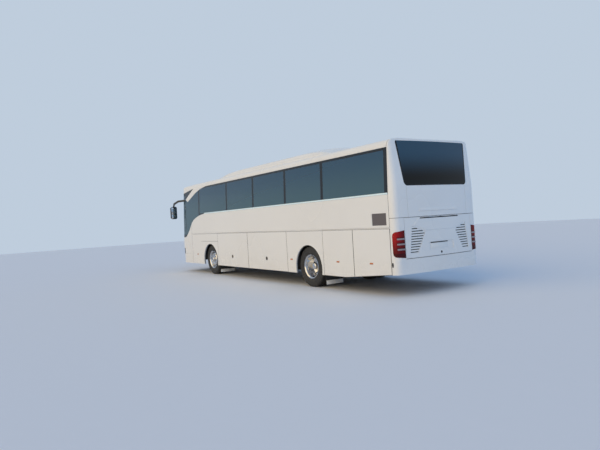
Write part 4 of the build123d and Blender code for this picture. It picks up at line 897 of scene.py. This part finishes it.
class COACH_OT_add_flap_locks(bpy.types.Operator):
    """Adds a round lock on each luggage flap and on the engine lid, and a dark oval on each tail corner"""

    bl_idname = "coach.add_flap_locks"
    bl_label = "Add flap locks"

    def execute(self, context):
        radius = context.scene.coach_sizes.lock / 2
        for flap in [name for name in FLAPS if "bay" in name]:
            low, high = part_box(flap)
            outer = high.y if flap.endswith("left") else low.y
            outwards = Vector((0, math.copysign(1, outer), 0))
            bm = bmesh.new()
            centre = Vector(((low.x + high.x) / 2, outer, LOCK_Z))
            disc(bm, centre, outwards, radius, 0.006, 28, 0.002)
            disc(bm, centre + outwards * 0.003, outwards, radius * 0.55, 0.008, 20, 0.002)
            make_piece(f"{flap}_lock", bm, "lock", flap)
        lid = bmesh.new()
        disc(lid, (tail_x(*LID_LOCK), *LID_LOCK), (-1, 0, 0), radius * 0.5, 0.008, 20, 0.002)
        make_piece("engine_lid_lock", lid, "plastic", "engine_lid")
        ovals = bmesh.new()
        for y in (HALF, -HALF):
            before = len(ovals.verts)
            disc(ovals, (0, 0, 0), (0, math.copysign(1, y), 0), 0.5, 0.008, 28, 0.002)
            for vert in ovals.verts[before:]:
                across, out, up = vert.co
                vert.co = Vector((OVAL_X + across * OVAL_LONG, y + out, OVAL_Z + up * OVAL_TALL))
        make_piece("sensor_ovals", ovals, "plastic", "coach")
        return {"FINISHED"}


# The sill strip's section, as (how far proud, height above the sill), and its ends
SILL_SECTION = [(0.000, 0.0), (0.012, 0.004), (0.002, 0.034), (0.000, 0.036)]
SILL_ENDS = (CAP_SEAM_X + 0.004, NOSE_X - 2.42)
SILL_SUNK = 0.004

# The wheel arches, and their lips' section as (how far past the arch's radius, how far proud)
ARCH_R = 0.590
ARCH_Z = 0.487
ARCH_TURNS = [math.radians(-13 + 206 * step / 48) for step in range(49)]
LIP_SECTION = [(-0.004, -0.018), (-0.004, 0.003), (0.010, 0.004), (0.020, 0.0)]
LIP_BACK = (0.004, 0.003)


def arch_lip(axle_x, outboard, grow=0.0, sink=0.0):
    """A grid of points over an arch's lip, moved away from the axle by grow and inboard by sink."""
    grid = []
    for past, proud in LIP_SECTION:
        radius, y = ARCH_R + past + grow, outboard * (HALF + proud - sink)
        grid.append([(axle_x + radius * math.cos(turn), y, ARCH_Z + radius * math.sin(turn))
                     for turn in ARCH_TURNS])
    return grid


class COACH_OT_add_side_trim(bpy.types.Operator):
    """Adds the pale bluish strip under the side windows, whose colour paints the sky's reflection on the
    ledge, and the lips of the wheel arches
    """

    bl_idname = "coach.add_side_trim"
    bl_label = "Add side trim"

    def execute(self, context):
        strip, lips = bmesh.new(), bmesh.new()
        for outboard in (1, -1):
            outer = [[(x, outboard * (HALF + proud), SILL_Z + rise) for x in SILL_ENDS]
                     for proud, rise in SILL_SECTION]
            inner = [[(point[0], outboard * (HALF - SILL_SUNK), point[2]) for point in row] for row in outer]
            shell(strip, outer, inner)
            for axle_x in (REAR_AXLE_X, FRONT_AXLE_X):
                shell(lips, arch_lip(axle_x, outboard), arch_lip(axle_x, outboard, *LIP_BACK))
        make_piece("sill_strips", strip, "trim", "coach")
        make_piece("arch_lips", lips, "paint", "coach")
        return {"FINISHED"}


MARKER_Z = 0.690
MARKER_TALL = 0.036
MARKER_FACES = (HALF - 0.002, HALF + 0.007)

# How far each marker stands from the rear axle, and what carries it
MARKERS = [(-2.410, "rear_service_flap_{}"), (-1.228, "middle_service_flap_{}"), (0.796, "coach"),
           (7.227, "coach")]


class COACH_OT_add_side_markers(bpy.types.Operator):
    """Adds the amber marker lamps low on both sides"""

    bl_idname = "coach.add_side_markers"
    bl_label = "Add side markers"

    def execute(self, context):
        reach = context.scene.coach_sizes.marker / 2
        low_z, high_z = MARKER_Z - MARKER_TALL / 2, MARKER_Z + MARKER_TALL / 2
        for side, outboard in (("left", 1), ("right", -1)):
            y0, y1 = sorted(outboard * face for face in MARKER_FACES)
            for number, (station, body) in enumerate(MARKERS):
                x = REAR_AXLE_X + station
                bm = bmesh.new()
                bevelled_box(bm, (x - reach, y0, low_z), (x + reach, y1, high_z), 0.003)
                make_piece(f"side_marker_{side}_{number + 1}", bm, "amber", body.format(side))
        return {"FINISHED"}


MUDFLAP_STRIP_TOP = 0.105


class COACH_OT_add_mudflap_strips(bpy.types.Operator):
    """Adds the pale strip along the foot of each mudflap"""

    bl_idname = "coach.add_mudflap_strips"
    bl_label = "Add mudflap strips"

    def execute(self, context):
        bm = bmesh.new()
        for low, high in solids("mudflaps"):
            bevelled_box(bm, (low.x - 0.003, low.y + 0.004, low.z + 0.004),
                         (high.x + 0.003, high.y - 0.004, low.z + MUDFLAP_STRIP_TOP), 0.002)
        make_piece("mudflap_strips", bm, "plate", "coach")
        return {"FINISHED"}


# The lamps' top and foot at the inner and the outer edge, their corners' radius, and how far the lens and its
# bars reach round the tail's corner, as the surface's turn there in radians
LAMP_TOP = (1.385, 1.345)
LAMP_FOOT = (0.812, 0.845)
LAMP_CORNER = 0.075
LAMP_TURN = 1.346
BAR_TURN = 0.70
CORNER_START = 0.0975
TURN_PER_METRE = 0.0858
LENS_ROWS = 12
LENS_PROUD, BAR_PROUD = 0.004, 0.009
LENS_DEPTHS = (0.0, 0.012)
BAR_TILTS = (-1.57, -1.0, -0.4, 0.4, 1.0, 1.57)
SQUARE = 1e-4


def lamp_path(turn_end, steps):
    """The way round the left tail corner from the lamp's inner edge, as (y, turn of the surface) pairs."""
    centre_y = HALF - TAIL_CORNER_R
    start_y = centre_y + TAIL_CORNER_R * math.sin(CORNER_START)
    path = []
    for part in (0, 0.25, 0.5, 0.75):
        path.append((LAMP_INNER_Y + (start_y - LAMP_INNER_Y) * part, TURN_PER_METRE * start_y * part))
    for step in range(steps + 1):
        turn = CORNER_START + (turn_end - CORNER_START) * step / steps
        path.append((centre_y + TAIL_CORNER_R * math.sin(turn), turn))
    return path


def round_corner(path, side, rows, depths):
    """A grid over the tail's corner for each depth; a row is (inner z, outer z, how far proud, corner)."""
    lengths = [0.0]
    for here, after in zip(path, path[1:]):
        run = math.hypot(after[0] - here[0], tail_x(after[0], 1.0) - tail_x(here[0], 1.0))
        lengths.append(lengths[-1] + run)
    grids = []
    for depth in depths:
        grid = []
        for inner_z, outer_z, proud, corner in rows:
            line = []
            for (y, turn), at in zip(path, lengths):
                into = max(0.0, at - (lengths[-1] - abs(corner)))
                pull = abs(corner) - math.sqrt(max(0.0, corner * corner - into * into))
                z = inner_z + (outer_z - inner_z) * at / lengths[-1] - math.copysign(pull, corner)
                out = proud - depth
                line.append((tail_x(y, z) - out * math.cos(turn), side * (y + out * math.sin(turn)), z))
            grid.append(line)
        grids.append(grid)
    return grids


class COACH_OT_add_tail_lamps(bpy.types.Operator):
    """Adds the round-cornered red lenses over the lamps, each with three raised clear bars"""

    bl_idname = "coach.add_tail_lamps"
    bl_label = "Add tail lamps"

    def execute(self, context):
        lens, bars = bmesh.new(), bmesh.new()
        for side in (1, -1):
            rows = []
            for step in range(LENS_ROWS + 1):
                part = step / LENS_ROWS
                inner_z, outer_z = (foot + (top - foot) * part for foot, top in zip(LAMP_FOOT, LAMP_TOP))
                rows.append((inner_z, outer_z, LENS_PROUD, LAMP_CORNER * (2 * part - 1) or SQUARE))
            shell(lens, *round_corner(lamp_path(LAMP_TURN, 20), side, rows, LENS_DEPTHS))
            for height in BAR_HEIGHTS:
                rows = []
                for tilt in BAR_TILTS:
                    z = height + BAR_HALF * math.sin(tilt)
                    rows.append((z, z, LENS_PROUD + BAR_PROUD * math.cos(tilt), SQUARE))
                shell(bars, *round_corner(lamp_path(BAR_TURN, 10), side, rows, LENS_DEPTHS))
        piece = make_piece("tail_lamp_lenses", lens, "tail_lens", "coach", 40)
        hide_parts("tail_lamps")
        make_piece("tail_lamp_bars", bars, "clear_bar", "coach", 50)
        return {"FINISHED"}


# The rear window: half widths and corner radii at its foot and its top, and how far it stands proud
WINDOW_FOOT_Z, WINDOW_TOP_Z = 2.302, 3.252
WINDOW_ARCH = 0.024
WINDOW_HALVES = (0.956, 1.062)
WINDOW_CORNERS = (0.085, 0.040)
WINDOW_FACES = (0.003, -0.009)
WINDOW_ROWS = 48
WINDOW_COLUMNS = 32


class COACH_OT_add_rear_window(bpy.types.Operator):
    """Adds the bonded rear window, arched along the roof's edge, in place of the plain pane"""

    bl_idname = "coach.add_rear_window"
    bl_label = "Add rear window"

    def execute(self, context):
        tall = WINDOW_TOP_Z - WINDOW_FOOT_Z
        grids = []
        for proud in WINDOW_FACES:
            grid = []
            for row in range(WINDOW_ROWS + 1):
                part = (1 - math.cos(math.pi * row / WINDOW_ROWS)) / 2
                edge = min(part, 1 - part) * tall
                corner = WINDOW_CORNERS[part > 0.5]
                pull = corner - math.sqrt(corner ** 2 - max(0.0, corner - edge) ** 2)
                half = WINDOW_HALVES[0] + (WINDOW_HALVES[1] - WINDOW_HALVES[0]) * part - pull
                line = []
                for column in range(WINDOW_COLUMNS + 1):
                    across = 2 * column / WINDOW_COLUMNS - 1
                    z = WINDOW_FOOT_Z + part * (tall + WINDOW_ARCH * (1 - across * across))
                    line.append((tail_x(half * across, z) - proud, half * across, z))
                grid.append(line)
            grids.append(grid)
        bm = bmesh.new()
        shell(bm, *grids)
        piece = make_piece("rear_window_pane", bm, "rear_pane", "coach")
        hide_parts("rear_window")
        return {"FINISHED"}


# The lid's raised panel, as (z, half width, how far proud) from between the louvres up to the air slot
LID_PANEL = [(1.344, 0.446, 0.0), (1.352, 0.440, 0.006), (1.415, 0.600, 0.006), (1.478, 0.775, 0.006),
             (1.540, 0.722, 0.006), (1.596, 0.655, 0.006), (1.602, 0.651, 0.0)]
PANEL_RIM = 0.008
PANEL_SUNK = 0.004
# A dark box in the air slot, which paints the shade inside it
SLOT_SHADE_BOX = ((TAIL_X + 0.038, -0.598, 1.6035), (TAIL_X + 0.0435, 0.598, 1.6245))

# The left louvre field: the corners of the dark sheet behind it, which paints the shade in its gaps, as (z,
# y), and the (z, y) points that its edges run from
SHADE_SHEET = [((1.330, 0.470), (1.462, 0.824)), ((0.880, 0.712), (0.908, 0.902))]
SHADE_SHEET_DEPTHS = (0.0235, 0.0275)
FIELD_FOOT, FIELD_KNEE, FIELD_TOP = (0.874, 0.708), (1.332, 0.464), (1.465, 0.826)
FOOT_SLOPE, KNEE_SLOPE, OUTER_SLOPE = 0.533, 2.752, 0.141

# The dark strip along each blade's upper edge stands in for the shadow in the gap; STRIP_INTO is how deep its
# lower and its upper edge lie
BLADES = 11
FIRST_STRIP_Z = 0.907
BLADE_PITCH = 0.054
STRIP_TALL = 0.017
STRIP_INTO = (0.012, 0.0176)
STRIP_FACES = (0.003, -0.001)
STRIP_CLEAR = 0.004
STRIP_SHORTEST = 0.02


def louvre_ends(low_z, high_z):
    """Where a strip between two heights starts and ends across the left louvre field."""
    (foot_z, foot_y), (knee_z, knee_y), (top_z, top_y) = FIELD_FOOT, FIELD_KNEE, FIELD_TOP
    if high_z < knee_z:
        inner_y = foot_y - (low_z - foot_z) * FOOT_SLOPE
    else:
        inner_y = knee_y + (high_z - knee_z) * KNEE_SLOPE
    return max(knee_y, inner_y) + STRIP_CLEAR, top_y + (top_z - high_z) * OUTER_SLOPE


class COACH_OT_add_lid_details(bpy.types.Operator):
    """Adds the lid's raised panel, and dark sheets and strips in its louvres and its air slot that paint the
    shade in them
    """

    bl_idname = "coach.add_lid_details"
    bl_label = "Add lid details"

    def execute(self, context):
        panel, shade_sheets = bmesh.new(), bmesh.new()
        outer, inner = [], []
        for z, half, proud in LID_PANEL:
            widths = [-half - PANEL_RIM, *(half * step / 8 for step in range(-8, 9)), half + PANEL_RIM]
            outer.append([(tail_x(y, z) - (proud if abs(y) <= half else 0.0), y, z) for y in widths])
            inner.append([(tail_x(y, z) + PANEL_SUNK, y, z) for y in widths])
        shell(panel, outer, inner)
        for side in (1, -1):
            # Painted shade: a dark sheet behind each louvre field, and dark strips along the blades' upper
            # edges
            sheet = [[[(tail_x(y, z) + depth, side * y, z) for z, y in row] for row in SHADE_SHEET]
                     for depth in SHADE_SHEET_DEPTHS]
            shell(shade_sheets, *sheet)
            for blade in range(BLADES):
                low_z = FIRST_STRIP_Z + BLADE_PITCH * blade
                high_z = low_z + STRIP_TALL
                start, end = louvre_ends(low_z, high_z)
                if start + STRIP_SHORTEST < end:
                    widths = [start + (end - start) * step / 6 for step in range(7)]
                    strip = [[[(tail_x(y, z) + into - proud, side * y, z) for y in widths]
                              for z, into in zip((low_z, high_z), STRIP_INTO)] for proud in STRIP_FACES]
                    shell(shade_sheets, *strip)
        bevelled_box(shade_sheets, *SLOT_SHADE_BOX, 0.001)
        make_piece("lid_panel", panel, "paint", "engine_lid", 20)
        make_piece("louvre_painted_shade", shade_sheets, "dark", "engine_lid")
        return {"FINISHED"}


# The roof fairing: (distance from the rear axle, share of its full height, share of its full width), and its
# full section as (half width, height), down to the roof
FAIRING_RUN = [(-1.05, -0.10, 0.80), (-0.91, 0.02, 0.88), (-0.77, 0.17, 0.94), (-0.63, 0.43, 0.975),
               (-0.45, 0.66, 1), (-0.26, 0.80, 1), (-0.06, 0.90, 1), (0.25, 0.96, 1), (0.59, 1, 1),
               (2.0, 1, 1), (3.85, 1, 1), (4.35, 0.96, 1), (4.75, 0.82, 1), (5.10, 0.58, 0.98),
               (5.44, 0.26, 0.94), (5.62, 0.06, 0.88), (5.72, -0.08, 0.82)]
FAIRING_SECTION = [(1.140, 3.262), (1.128, 3.326), (1.122, 3.332), (1.082, 3.340), (1.076, 3.346),
                   (1.062, 3.390), (1.030, 3.424), (0.960, 3.446), (0.800, 3.482), (0.500, 3.545),
                   (0.250, 3.580), (0.0, 3.592)]
FAIRING_SUNK = 0.045


class COACH_OT_add_roof_fairing(bpy.types.Operator):
    """Adds the low, crowned roof fairing with its stepped foot, in place of the plain one"""

    bl_idname = "coach.add_roof_fairing"
    bl_label = "Add roof fairing"

    def execute(self, context):
        section = FAIRING_SECTION + [(-y, z) for y, z in reversed(FAIRING_SECTION[:-1])]
        outer, inner = [], []
        for station, tall, wide in FAIRING_RUN:
            x = REAR_AXLE_X + station
            cover, foot = [], []
            for y, z in section:
                roof = ROOF_TOP_Z - ROOF_CROWN * (y * wide) ** 2
                full = ROOF_TOP_Z - ROOF_CROWN * y * y
                top = roof + (z - full) * tall
                cover.append((x, y * wide, top))
                foot.append((x, y * wide, min(roof - FAIRING_SUNK, top - 0.002)))
            outer.append(cover)
            inner.append(foot)
        bm = bmesh.new()
        shell(bm, outer, inner)
        piece = make_piece("fairing_cover", bm, "paint", "coach", 40)
        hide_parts("roof_fairing")
        return {"FINISHED"}


PLATE_Y, PLATE_Z = 0.065, 1.012
RECESS_X = TAIL_X + 0.018
PLATE_FACES = (RECESS_X - 0.006, RECESS_X + 0.006)
LAMP_BAR_PROUD, LAMP_BAR_TALL = 0.004, 0.020


class COACH_OT_add_number_plate(bpy.types.Operator):
    """Adds the blank number plate in the engine lid's recess, and the dark lamp bar above it, which also
    paints the shadow under the recess's lip
    """

    bl_idname = "coach.add_number_plate"
    bl_label = "Add number plate"

    def execute(self, context):
        sizes = context.scene.coach_sizes
        y0, y1 = PLATE_Y - sizes.plate_width / 2, PLATE_Y + sizes.plate_width / 2
        foot, top = PLATE_Z - sizes.plate_height / 2, PLATE_Z + sizes.plate_height / 2
        face, back = PLATE_FACES
        plate, bar = bmesh.new(), bmesh.new()
        bevelled_box(plate, (face, y0, foot), (back, y1, top), 0.002)
        # The dark bar is the plate lamp and also a painted shadow under the recess's top edge.
        bevelled_box(bar, (face - LAMP_BAR_PROUD, y0, top), (back, y1, top + LAMP_BAR_TALL), 0.002)
        make_piece("number_plate", plate, "plate", "engine_lid")
        make_piece("plate_lamp_and_shadow", bar, "plastic", "engine_lid")
        return {"FINISHED"}


# Nose

# Each wiper's pivot and joint as (y, z), and where its blade starts and ends across the screen
WIPERS = [((0.10, 1.300), (0.48, 1.425), (0.00, 0.96)), ((-0.96, 1.300), (-0.58, 1.425), (-1.04, -0.10))]
ARM_OUT, ARM_RADIUS = 0.030, 0.012
BLADE_OUT, BLADE_RADIUS = 0.014, 0.010
BOSS_RADIUS, BOSS_DEEP = 0.026, 0.05

# The two headlamps and the fog lamp of a side, as (y, z, radius)
HEADLAMPS = [(0.80, 0.795, 0.085), (0.99, 0.795, 0.085), (0.86, 0.52, 0.055)]
RING_DEEP = 0.016
LENS_DEEP, LENS_OUT, LENS_SHARE = 0.012, 0.008, 0.82

INLET_WIDTHS = [step / 10 for step in range(-6, 7)]
INLET_ROWS = (0.46, 0.50, 0.54, 0.58)
INLET_BARS = (0.48, 0.52, 0.56)
INLET_FACES = (0.003, -0.004)

# The front plate's half width, foot and top
FRONT_PLATE = (0.26, 0.585, 0.665)
FRONT_PLATE_FACES = (0.010, -0.030)

# The mirrors' glasses: their middle, half width, distance behind the mirrors' front, and (foot, top) heights
MIRROR_Y = HALF + 0.175
MIRROR_HALF = 0.100
MIRROR_BACK = 0.170
MIRROR_HEIGHTS = [(2.235, 2.515), (2.075, 2.222)]


class COACH_OT_add_nose_details(bpy.types.Operator):
    """Adds the wipers, headlamps, fog lamps, lower inlet, blank front plate and the mirrors' glass"""

    bl_idname = "coach.add_nose_details"
    bl_label = "Add nose details"

    def execute(self, context):
        wipers, rings, lamps = bmesh.new(), bmesh.new(), bmesh.new()
        inlet, plate, glass = bmesh.new(), bmesh.new(), bmesh.new()
        for pivot, joint, (blade_low, blade_high) in WIPERS:
            boss = (nose_x(*pivot) + 0.008, *pivot)
            disc(wipers, boss, (1, 0, 0.1), BOSS_RADIUS, BOSS_DEEP, 20, 0.006)
            rod(wipers, [(nose_x(y, z) + ARM_OUT, y, z) for y, z in (pivot, joint)], ARM_RADIUS)
            widths = [blade_low + (blade_high - blade_low) * step / 10 for step in range(11)]
            rod(wipers, [(nose_x(y, joint[1]) + BLADE_OUT, y, joint[1]) for y in widths], BLADE_RADIUS)
        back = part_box("mirrors")[1].x - MIRROR_BACK
        for side in (1, -1):
            for y, z, radius in HEADLAMPS:
                slope = (nose_x(y + 0.01, z) - nose_x(y - 0.01, z)) / 0.02
                axis = Vector((1, -side * slope, 0)).normalized()
                place = Vector((nose_x(y, z), side * y, z))
                disc(rings, place, axis, radius, RING_DEEP, 36, 0.005)
                disc(lamps, place + axis * LENS_OUT, axis, radius * LENS_SHARE, LENS_DEEP, 36, 0.005)
            y0, y1 = sorted((side * (MIRROR_Y - MIRROR_HALF), side * (MIRROR_Y + MIRROR_HALF)))
            for foot, top in MIRROR_HEIGHTS:
                bevelled_box(glass, (back - 0.004, y0, foot), (back + 0.002, y1, top), 0.0015)
        panel = [[[(nose_x(y, z) + out, y, z) for y in INLET_WIDTHS] for z in INLET_ROWS]
                 for out in INLET_FACES]
        shell(inlet, *panel)
        for z in INLET_BARS:
            rod(inlet, [(nose_x(y, z) + 0.003, y, z) for y in INLET_WIDTHS], 0.006)
        half, foot, top = FRONT_PLATE
        sheet = [[[(nose_x(0, z) + out, y, z) for y in (-half, half)] for z in (foot, top)]
                 for out in FRONT_PLATE_FACES]
        shell(plate, *sheet)
        make_piece("front_plate", plate, "plate", "coach")
        make_piece("wipers", wipers, "plastic", "coach")
        make_piece("headlamp_rings", rings, "metal", "coach")
        make_piece("headlamp_lenses", lamps, "clear_lamp", "coach")
        make_piece("bumper_inlet", inlet, "plastic", "coach")
        make_piece("mirror_glasses", glass, "mirror", "coach")
        return {"FINISHED"}


# Seats

# A seat's pads as (in from the bench's front or rear edge, up from its foot, half size)
ARMREST = 0.05
CUSHION_THICK = 0.13
BACK_THICK = 0.12
CUSHION_IN, CUSHION_UP, CUSHION_HALF = 0.235, 0.385, 0.225
BACK_IN, BACK_UP, BACK_HALF = 0.175, 0.720, 0.330
HEADREST_IN, HEADREST_UP, HEADREST_HALF = 0.105, 1.055, 0.085
HEADREST_DEEP, HEADREST_SHARE = 0.060, 0.36
RECLINE = math.radians(-13)
CUSHION_TILT = math.radians(-4)

# A seat frame's heights from the bench's foot, and the legs' and the armrests' widths
BASE_FOOT, BASE_TOP = 0.26, 0.325
LEG_TOP, LEG_WIDE, LEG_IN = 0.27, 0.06, 0.10
ARM_FOOT, ARM_TOP, ARM_HALF = 0.60, 0.64, 0.018


def seat_pads(bm, low, high):
    """A bench's two seats: cushion, back and headrest for each."""
    width = (high.y - low.y - ARMREST) / 2
    for number in range(2):
        y = low.y + width / 2 + number * (width + ARMREST)
        cushion = (high.x - CUSHION_IN, y, low.z + CUSHION_UP)
        back = (low.x + BACK_IN, y, low.z + BACK_UP)
        headrest = (low.x + HEADREST_IN, y, low.z + HEADREST_UP)
        stuffed_pad(bm, cushion, (CUSHION_HALF, width / 2, CUSHION_THICK / 2), CUSHION_TILT)
        stuffed_pad(bm, back, (BACK_THICK / 2, width / 2, BACK_HALF), RECLINE)
        stuffed_pad(bm, headrest, (HEADREST_DEEP, width * HEADREST_SHARE, HEADREST_HALF), RECLINE, 3.0)


def seat_frames(bm, low, high):
    """A bench's base, its two legs and its armrests."""
    x0, x1, y0, y1 = low.x + 0.20, high.x - 0.02, low.y + 0.02, high.y - 0.02
    bevelled_box(bm, (x0, y0, low.z + BASE_FOOT), (x1, y1, low.z + BASE_TOP), 0.01)
    for y in (low.y + LEG_IN, high.y - LEG_IN - LEG_WIDE):
        bevelled_box(bm, (x0 + 0.10, y, low.z), (x1 - 0.12, y + LEG_WIDE, low.z + LEG_TOP), 0.01)
    for y in (y0, (low.y + high.y) / 2, y1):
        bevelled_box(bm, (low.x + 0.22, y - ARM_HALF, low.z + ARM_FOOT),
                     (high.x - 0.16, y + ARM_HALF, low.z + ARM_TOP), 0.008)


class COACH_OT_add_seats(bpy.types.Operator):
    """Adds the passengers' and driver's seats in place of the plain benches"""

    bl_idname = "coach.add_seats"
    bl_label = "Add seats"

    def execute(self, context):
        for node in ("seats_left", "seats_right", "driver_seat"):
            pads, frames = bmesh.new(), bmesh.new()
            for low, high in solids(node):
                seat_pads(pads, low, high)
                seat_frames(frames, low, high)
            padding = make_piece(f"{node}_pads", pads, "cloth", "coach", 60)
            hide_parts(node)
            make_piece(f"{node}_frames", frames, "plastic", "coach")
        return {"FINISHED"}


class COACH_OT_set_finishes(bpy.types.Operator):
    """Gives every frame node its finish"""

    bl_idname = "coach.set_finishes"
    bl_label = "Set finishes"

    def execute(self, context):
        for name, nodes in NODE_FINISHES.items():
            for node in nodes:
                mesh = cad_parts[node].data
                mesh.materials.clear()
                mesh.materials.append(finish(name))
        return {"FINISHED"}


# Studio

CAMERA_FROM_REAR_AXLE = Vector((-10.987, 8.727, 1.732))
SENSOR = 36.0
FLOOR_RADIUS = 48.0
FLOOR_FADE = (16.0, 46.0)

# Each sun lamp's colour, the place that it shines from, and its spread in degrees
KEY_LIGHT = ((1.0, 0.69, 0.235), (-0.10, 1.0, 0.38), 90)
FILL_LIGHT = ((0.10, 0.48, 1.0), (-1.0, 0.15, 0.8), 80)


def camera_turn(yaw, pitch, roll):
    """The camera's rotation from its heading, tilt and roll."""
    ahead = Vector((math.cos(pitch) * math.cos(yaw), math.cos(pitch) * math.sin(yaw), math.sin(pitch)))
    level = Vector((math.sin(yaw), -math.cos(yaw), 0))
    upright = level.cross(ahead)
    right = math.cos(roll) * level + math.sin(roll) * upright
    above = -math.sin(roll) * level + math.cos(roll) * upright
    return Matrix((right, above, -ahead)).transposed()


def floor_finish(studio):
    """The floor: pale, finely textured, fading into the backdrop far from the coach."""
    finish = Finish("studio_floor")
    distance = (finish.x * finish.x + finish.y * finish.y).math("SQRT")
    grain = finish.noise(5.0, 6)
    base = finish.mix(grain * 0.12, studio.floor, [0.9 * channel for channel in studio.floor])
    return finish.surface(Base_Color=base, Roughness=0.75 + grain * 0.1, Alpha=1 - distance.rise(*FLOOR_FADE))


class COACH_OT_set_studio(bpy.types.Operator):
    """Sets up the floor, the light and the camera at the photograph's angle"""

    bl_idname = "coach.set_studio"
    bl_label = "Set studio"

    def execute(self, context):
        studio = context.scene.coach_studio
        bm = bmesh.new()
        bmesh.ops.create_circle(bm, cap_ends=True, segments=96, radius=FLOOR_RADIUS)
        mesh = bpy.data.meshes.new("studio_floor")
        bm.to_mesh(mesh)
        bm.free()
        mesh.materials.append(floor_finish(studio))
        floor = bpy.data.objects.new("studio_floor", mesh)
        context.scene.collection.objects.link(floor)
        self.light_world(context, studio)
        self.add_sun("key_light", studio.key, *KEY_LIGHT)
        self.add_sun("fill_light", studio.fill, *FILL_LIGHT)
        camera = bpy.data.cameras.new("camera")
        camera.lens = studio.lens
        camera.sensor_width = SENSOR
        camera.clip_end = 300
        holder = bpy.data.objects.new("camera", camera)
        turn = camera_turn(studio.yaw, studio.pitch, studio.roll).to_4x4()
        holder.matrix_world = Matrix.Translation(CAMERA_FROM_REAR_AXLE + Vector((REAR_AXLE_X, 0, 0))) @ turn
        context.scene.collection.objects.link(holder)
        context.scene.camera = holder
        context.scene.view_settings.view_transform = "Standard"
        return {"FINISHED"}

    def light_world(self, context, studio):
        """A world that lights softly and shows the backdrop to the camera, metal and glass."""
        world = bpy.data.worlds.new("studio")
        context.scene.world = world
        world.use_nodes = True
        nodes, links = world.node_tree.nodes, world.node_tree.links
        nodes.clear()
        path = nodes.new("ShaderNodeLightPath")
        seen = nodes.new("ShaderNodeMath")
        seen.operation = "ADD"
        links.new(path.outputs["Is Camera Ray"], seen.inputs[0])
        links.new(path.outputs["Is Glossy Ray"], seen.inputs[1])
        also = nodes.new("ShaderNodeMath")
        also.operation = "ADD"
        also.use_clamp = True
        links.new(seen.outputs[0], also.inputs[0])
        links.new(path.outputs["Is Transmission Ray"], also.inputs[1])
        tone = nodes.new("ShaderNodeMix")
        tone.data_type = "RGBA"
        links.new(also.outputs[0], tone.inputs["Factor"])
        tone.inputs[6].default_value = (*studio.ambient, 1)
        tone.inputs[7].default_value = (*studio.backdrop, 1)
        light = nodes.new("ShaderNodeBackground")
        links.new(tone.outputs[2], light.inputs["Color"])
        out = nodes.new("ShaderNodeOutputWorld")
        links.new(light.outputs[0], out.inputs[0])

    def add_sun(self, name, strength, tone, origin, spread):
        """A broad sun lamp that shines from the origin's direction."""
        lamp = bpy.data.lights.new(name, "SUN")
        lamp.energy = strength
        lamp.color = tone
        lamp.angle = math.radians(spread)
        holder = bpy.data.objects.new(name, lamp)
        holder.rotation_mode = "QUATERNION"
        holder.rotation_quaternion = Vector(origin).to_track_quat("Z", "Y")
        bpy.context.scene.collection.objects.link(holder)


OPERATORS = (
    COACH_OT_set_finishes,
    COACH_OT_add_tyres,
    COACH_OT_add_rims,
    COACH_OT_add_flap_seals,
    COACH_OT_add_flap_locks,
    COACH_OT_add_side_trim,
    COACH_OT_add_side_markers,
    COACH_OT_add_mudflap_strips,
    COACH_OT_add_tail_lamps,
    COACH_OT_add_rear_window,
    COACH_OT_add_lid_details,
    COACH_OT_add_roof_fairing,
    COACH_OT_add_number_plate,
    COACH_OT_add_nose_details,
    COACH_OT_add_seats,
    COACH_OT_set_studio,
)


class COACH_PT_pieces(bpy.types.Panel):
    """Lists the coach's pieces, colours and sizes"""

    bl_label = "Coach"
    bl_idname = "COACH_PT_pieces"
    bl_space_type = "VIEW_3D"
    bl_region_type = "UI"
    bl_category = "Coach"

    def draw(self, context):
        for operator in OPERATORS:
            self.layout.operator(operator.bl_idname)
        for group in (context.scene.coach_colours, context.scene.coach_sizes, context.scene.coach_studio):
            column = self.layout.column()
            for name in group.__annotations__:
                column.prop(group, name)


GROUPS = (("coach_colours", CoachColours), ("coach_sizes", CoachSizes), ("coach_studio", CoachStudio))


def register():
    """Makes the property groups, operators and panel known to Blender."""
    for name, group in GROUPS:
        bpy.utils.register_class(group)
        setattr(bpy.types.Scene, name, PointerProperty(type=group))
    for kind in (*OPERATORS, COACH_PT_pieces):
        bpy.utils.register_class(kind)


def unregister():
    """Takes them away again."""
    for kind in (COACH_PT_pieces, *reversed(OPERATORS)):
        bpy.utils.unregister_class(kind)
    for name, group in reversed(GROUPS):
        delattr(bpy.types.Scene, name)
        bpy.utils.unregister_class(group)


def main():
    """Finishes the coach piece by piece."""
    register()
    for operator in OPERATORS:
        group, name = operator.bl_idname.split(".")
        getattr(getattr(bpy.ops, group), name)()


if __name__ == "__main__":
    main()
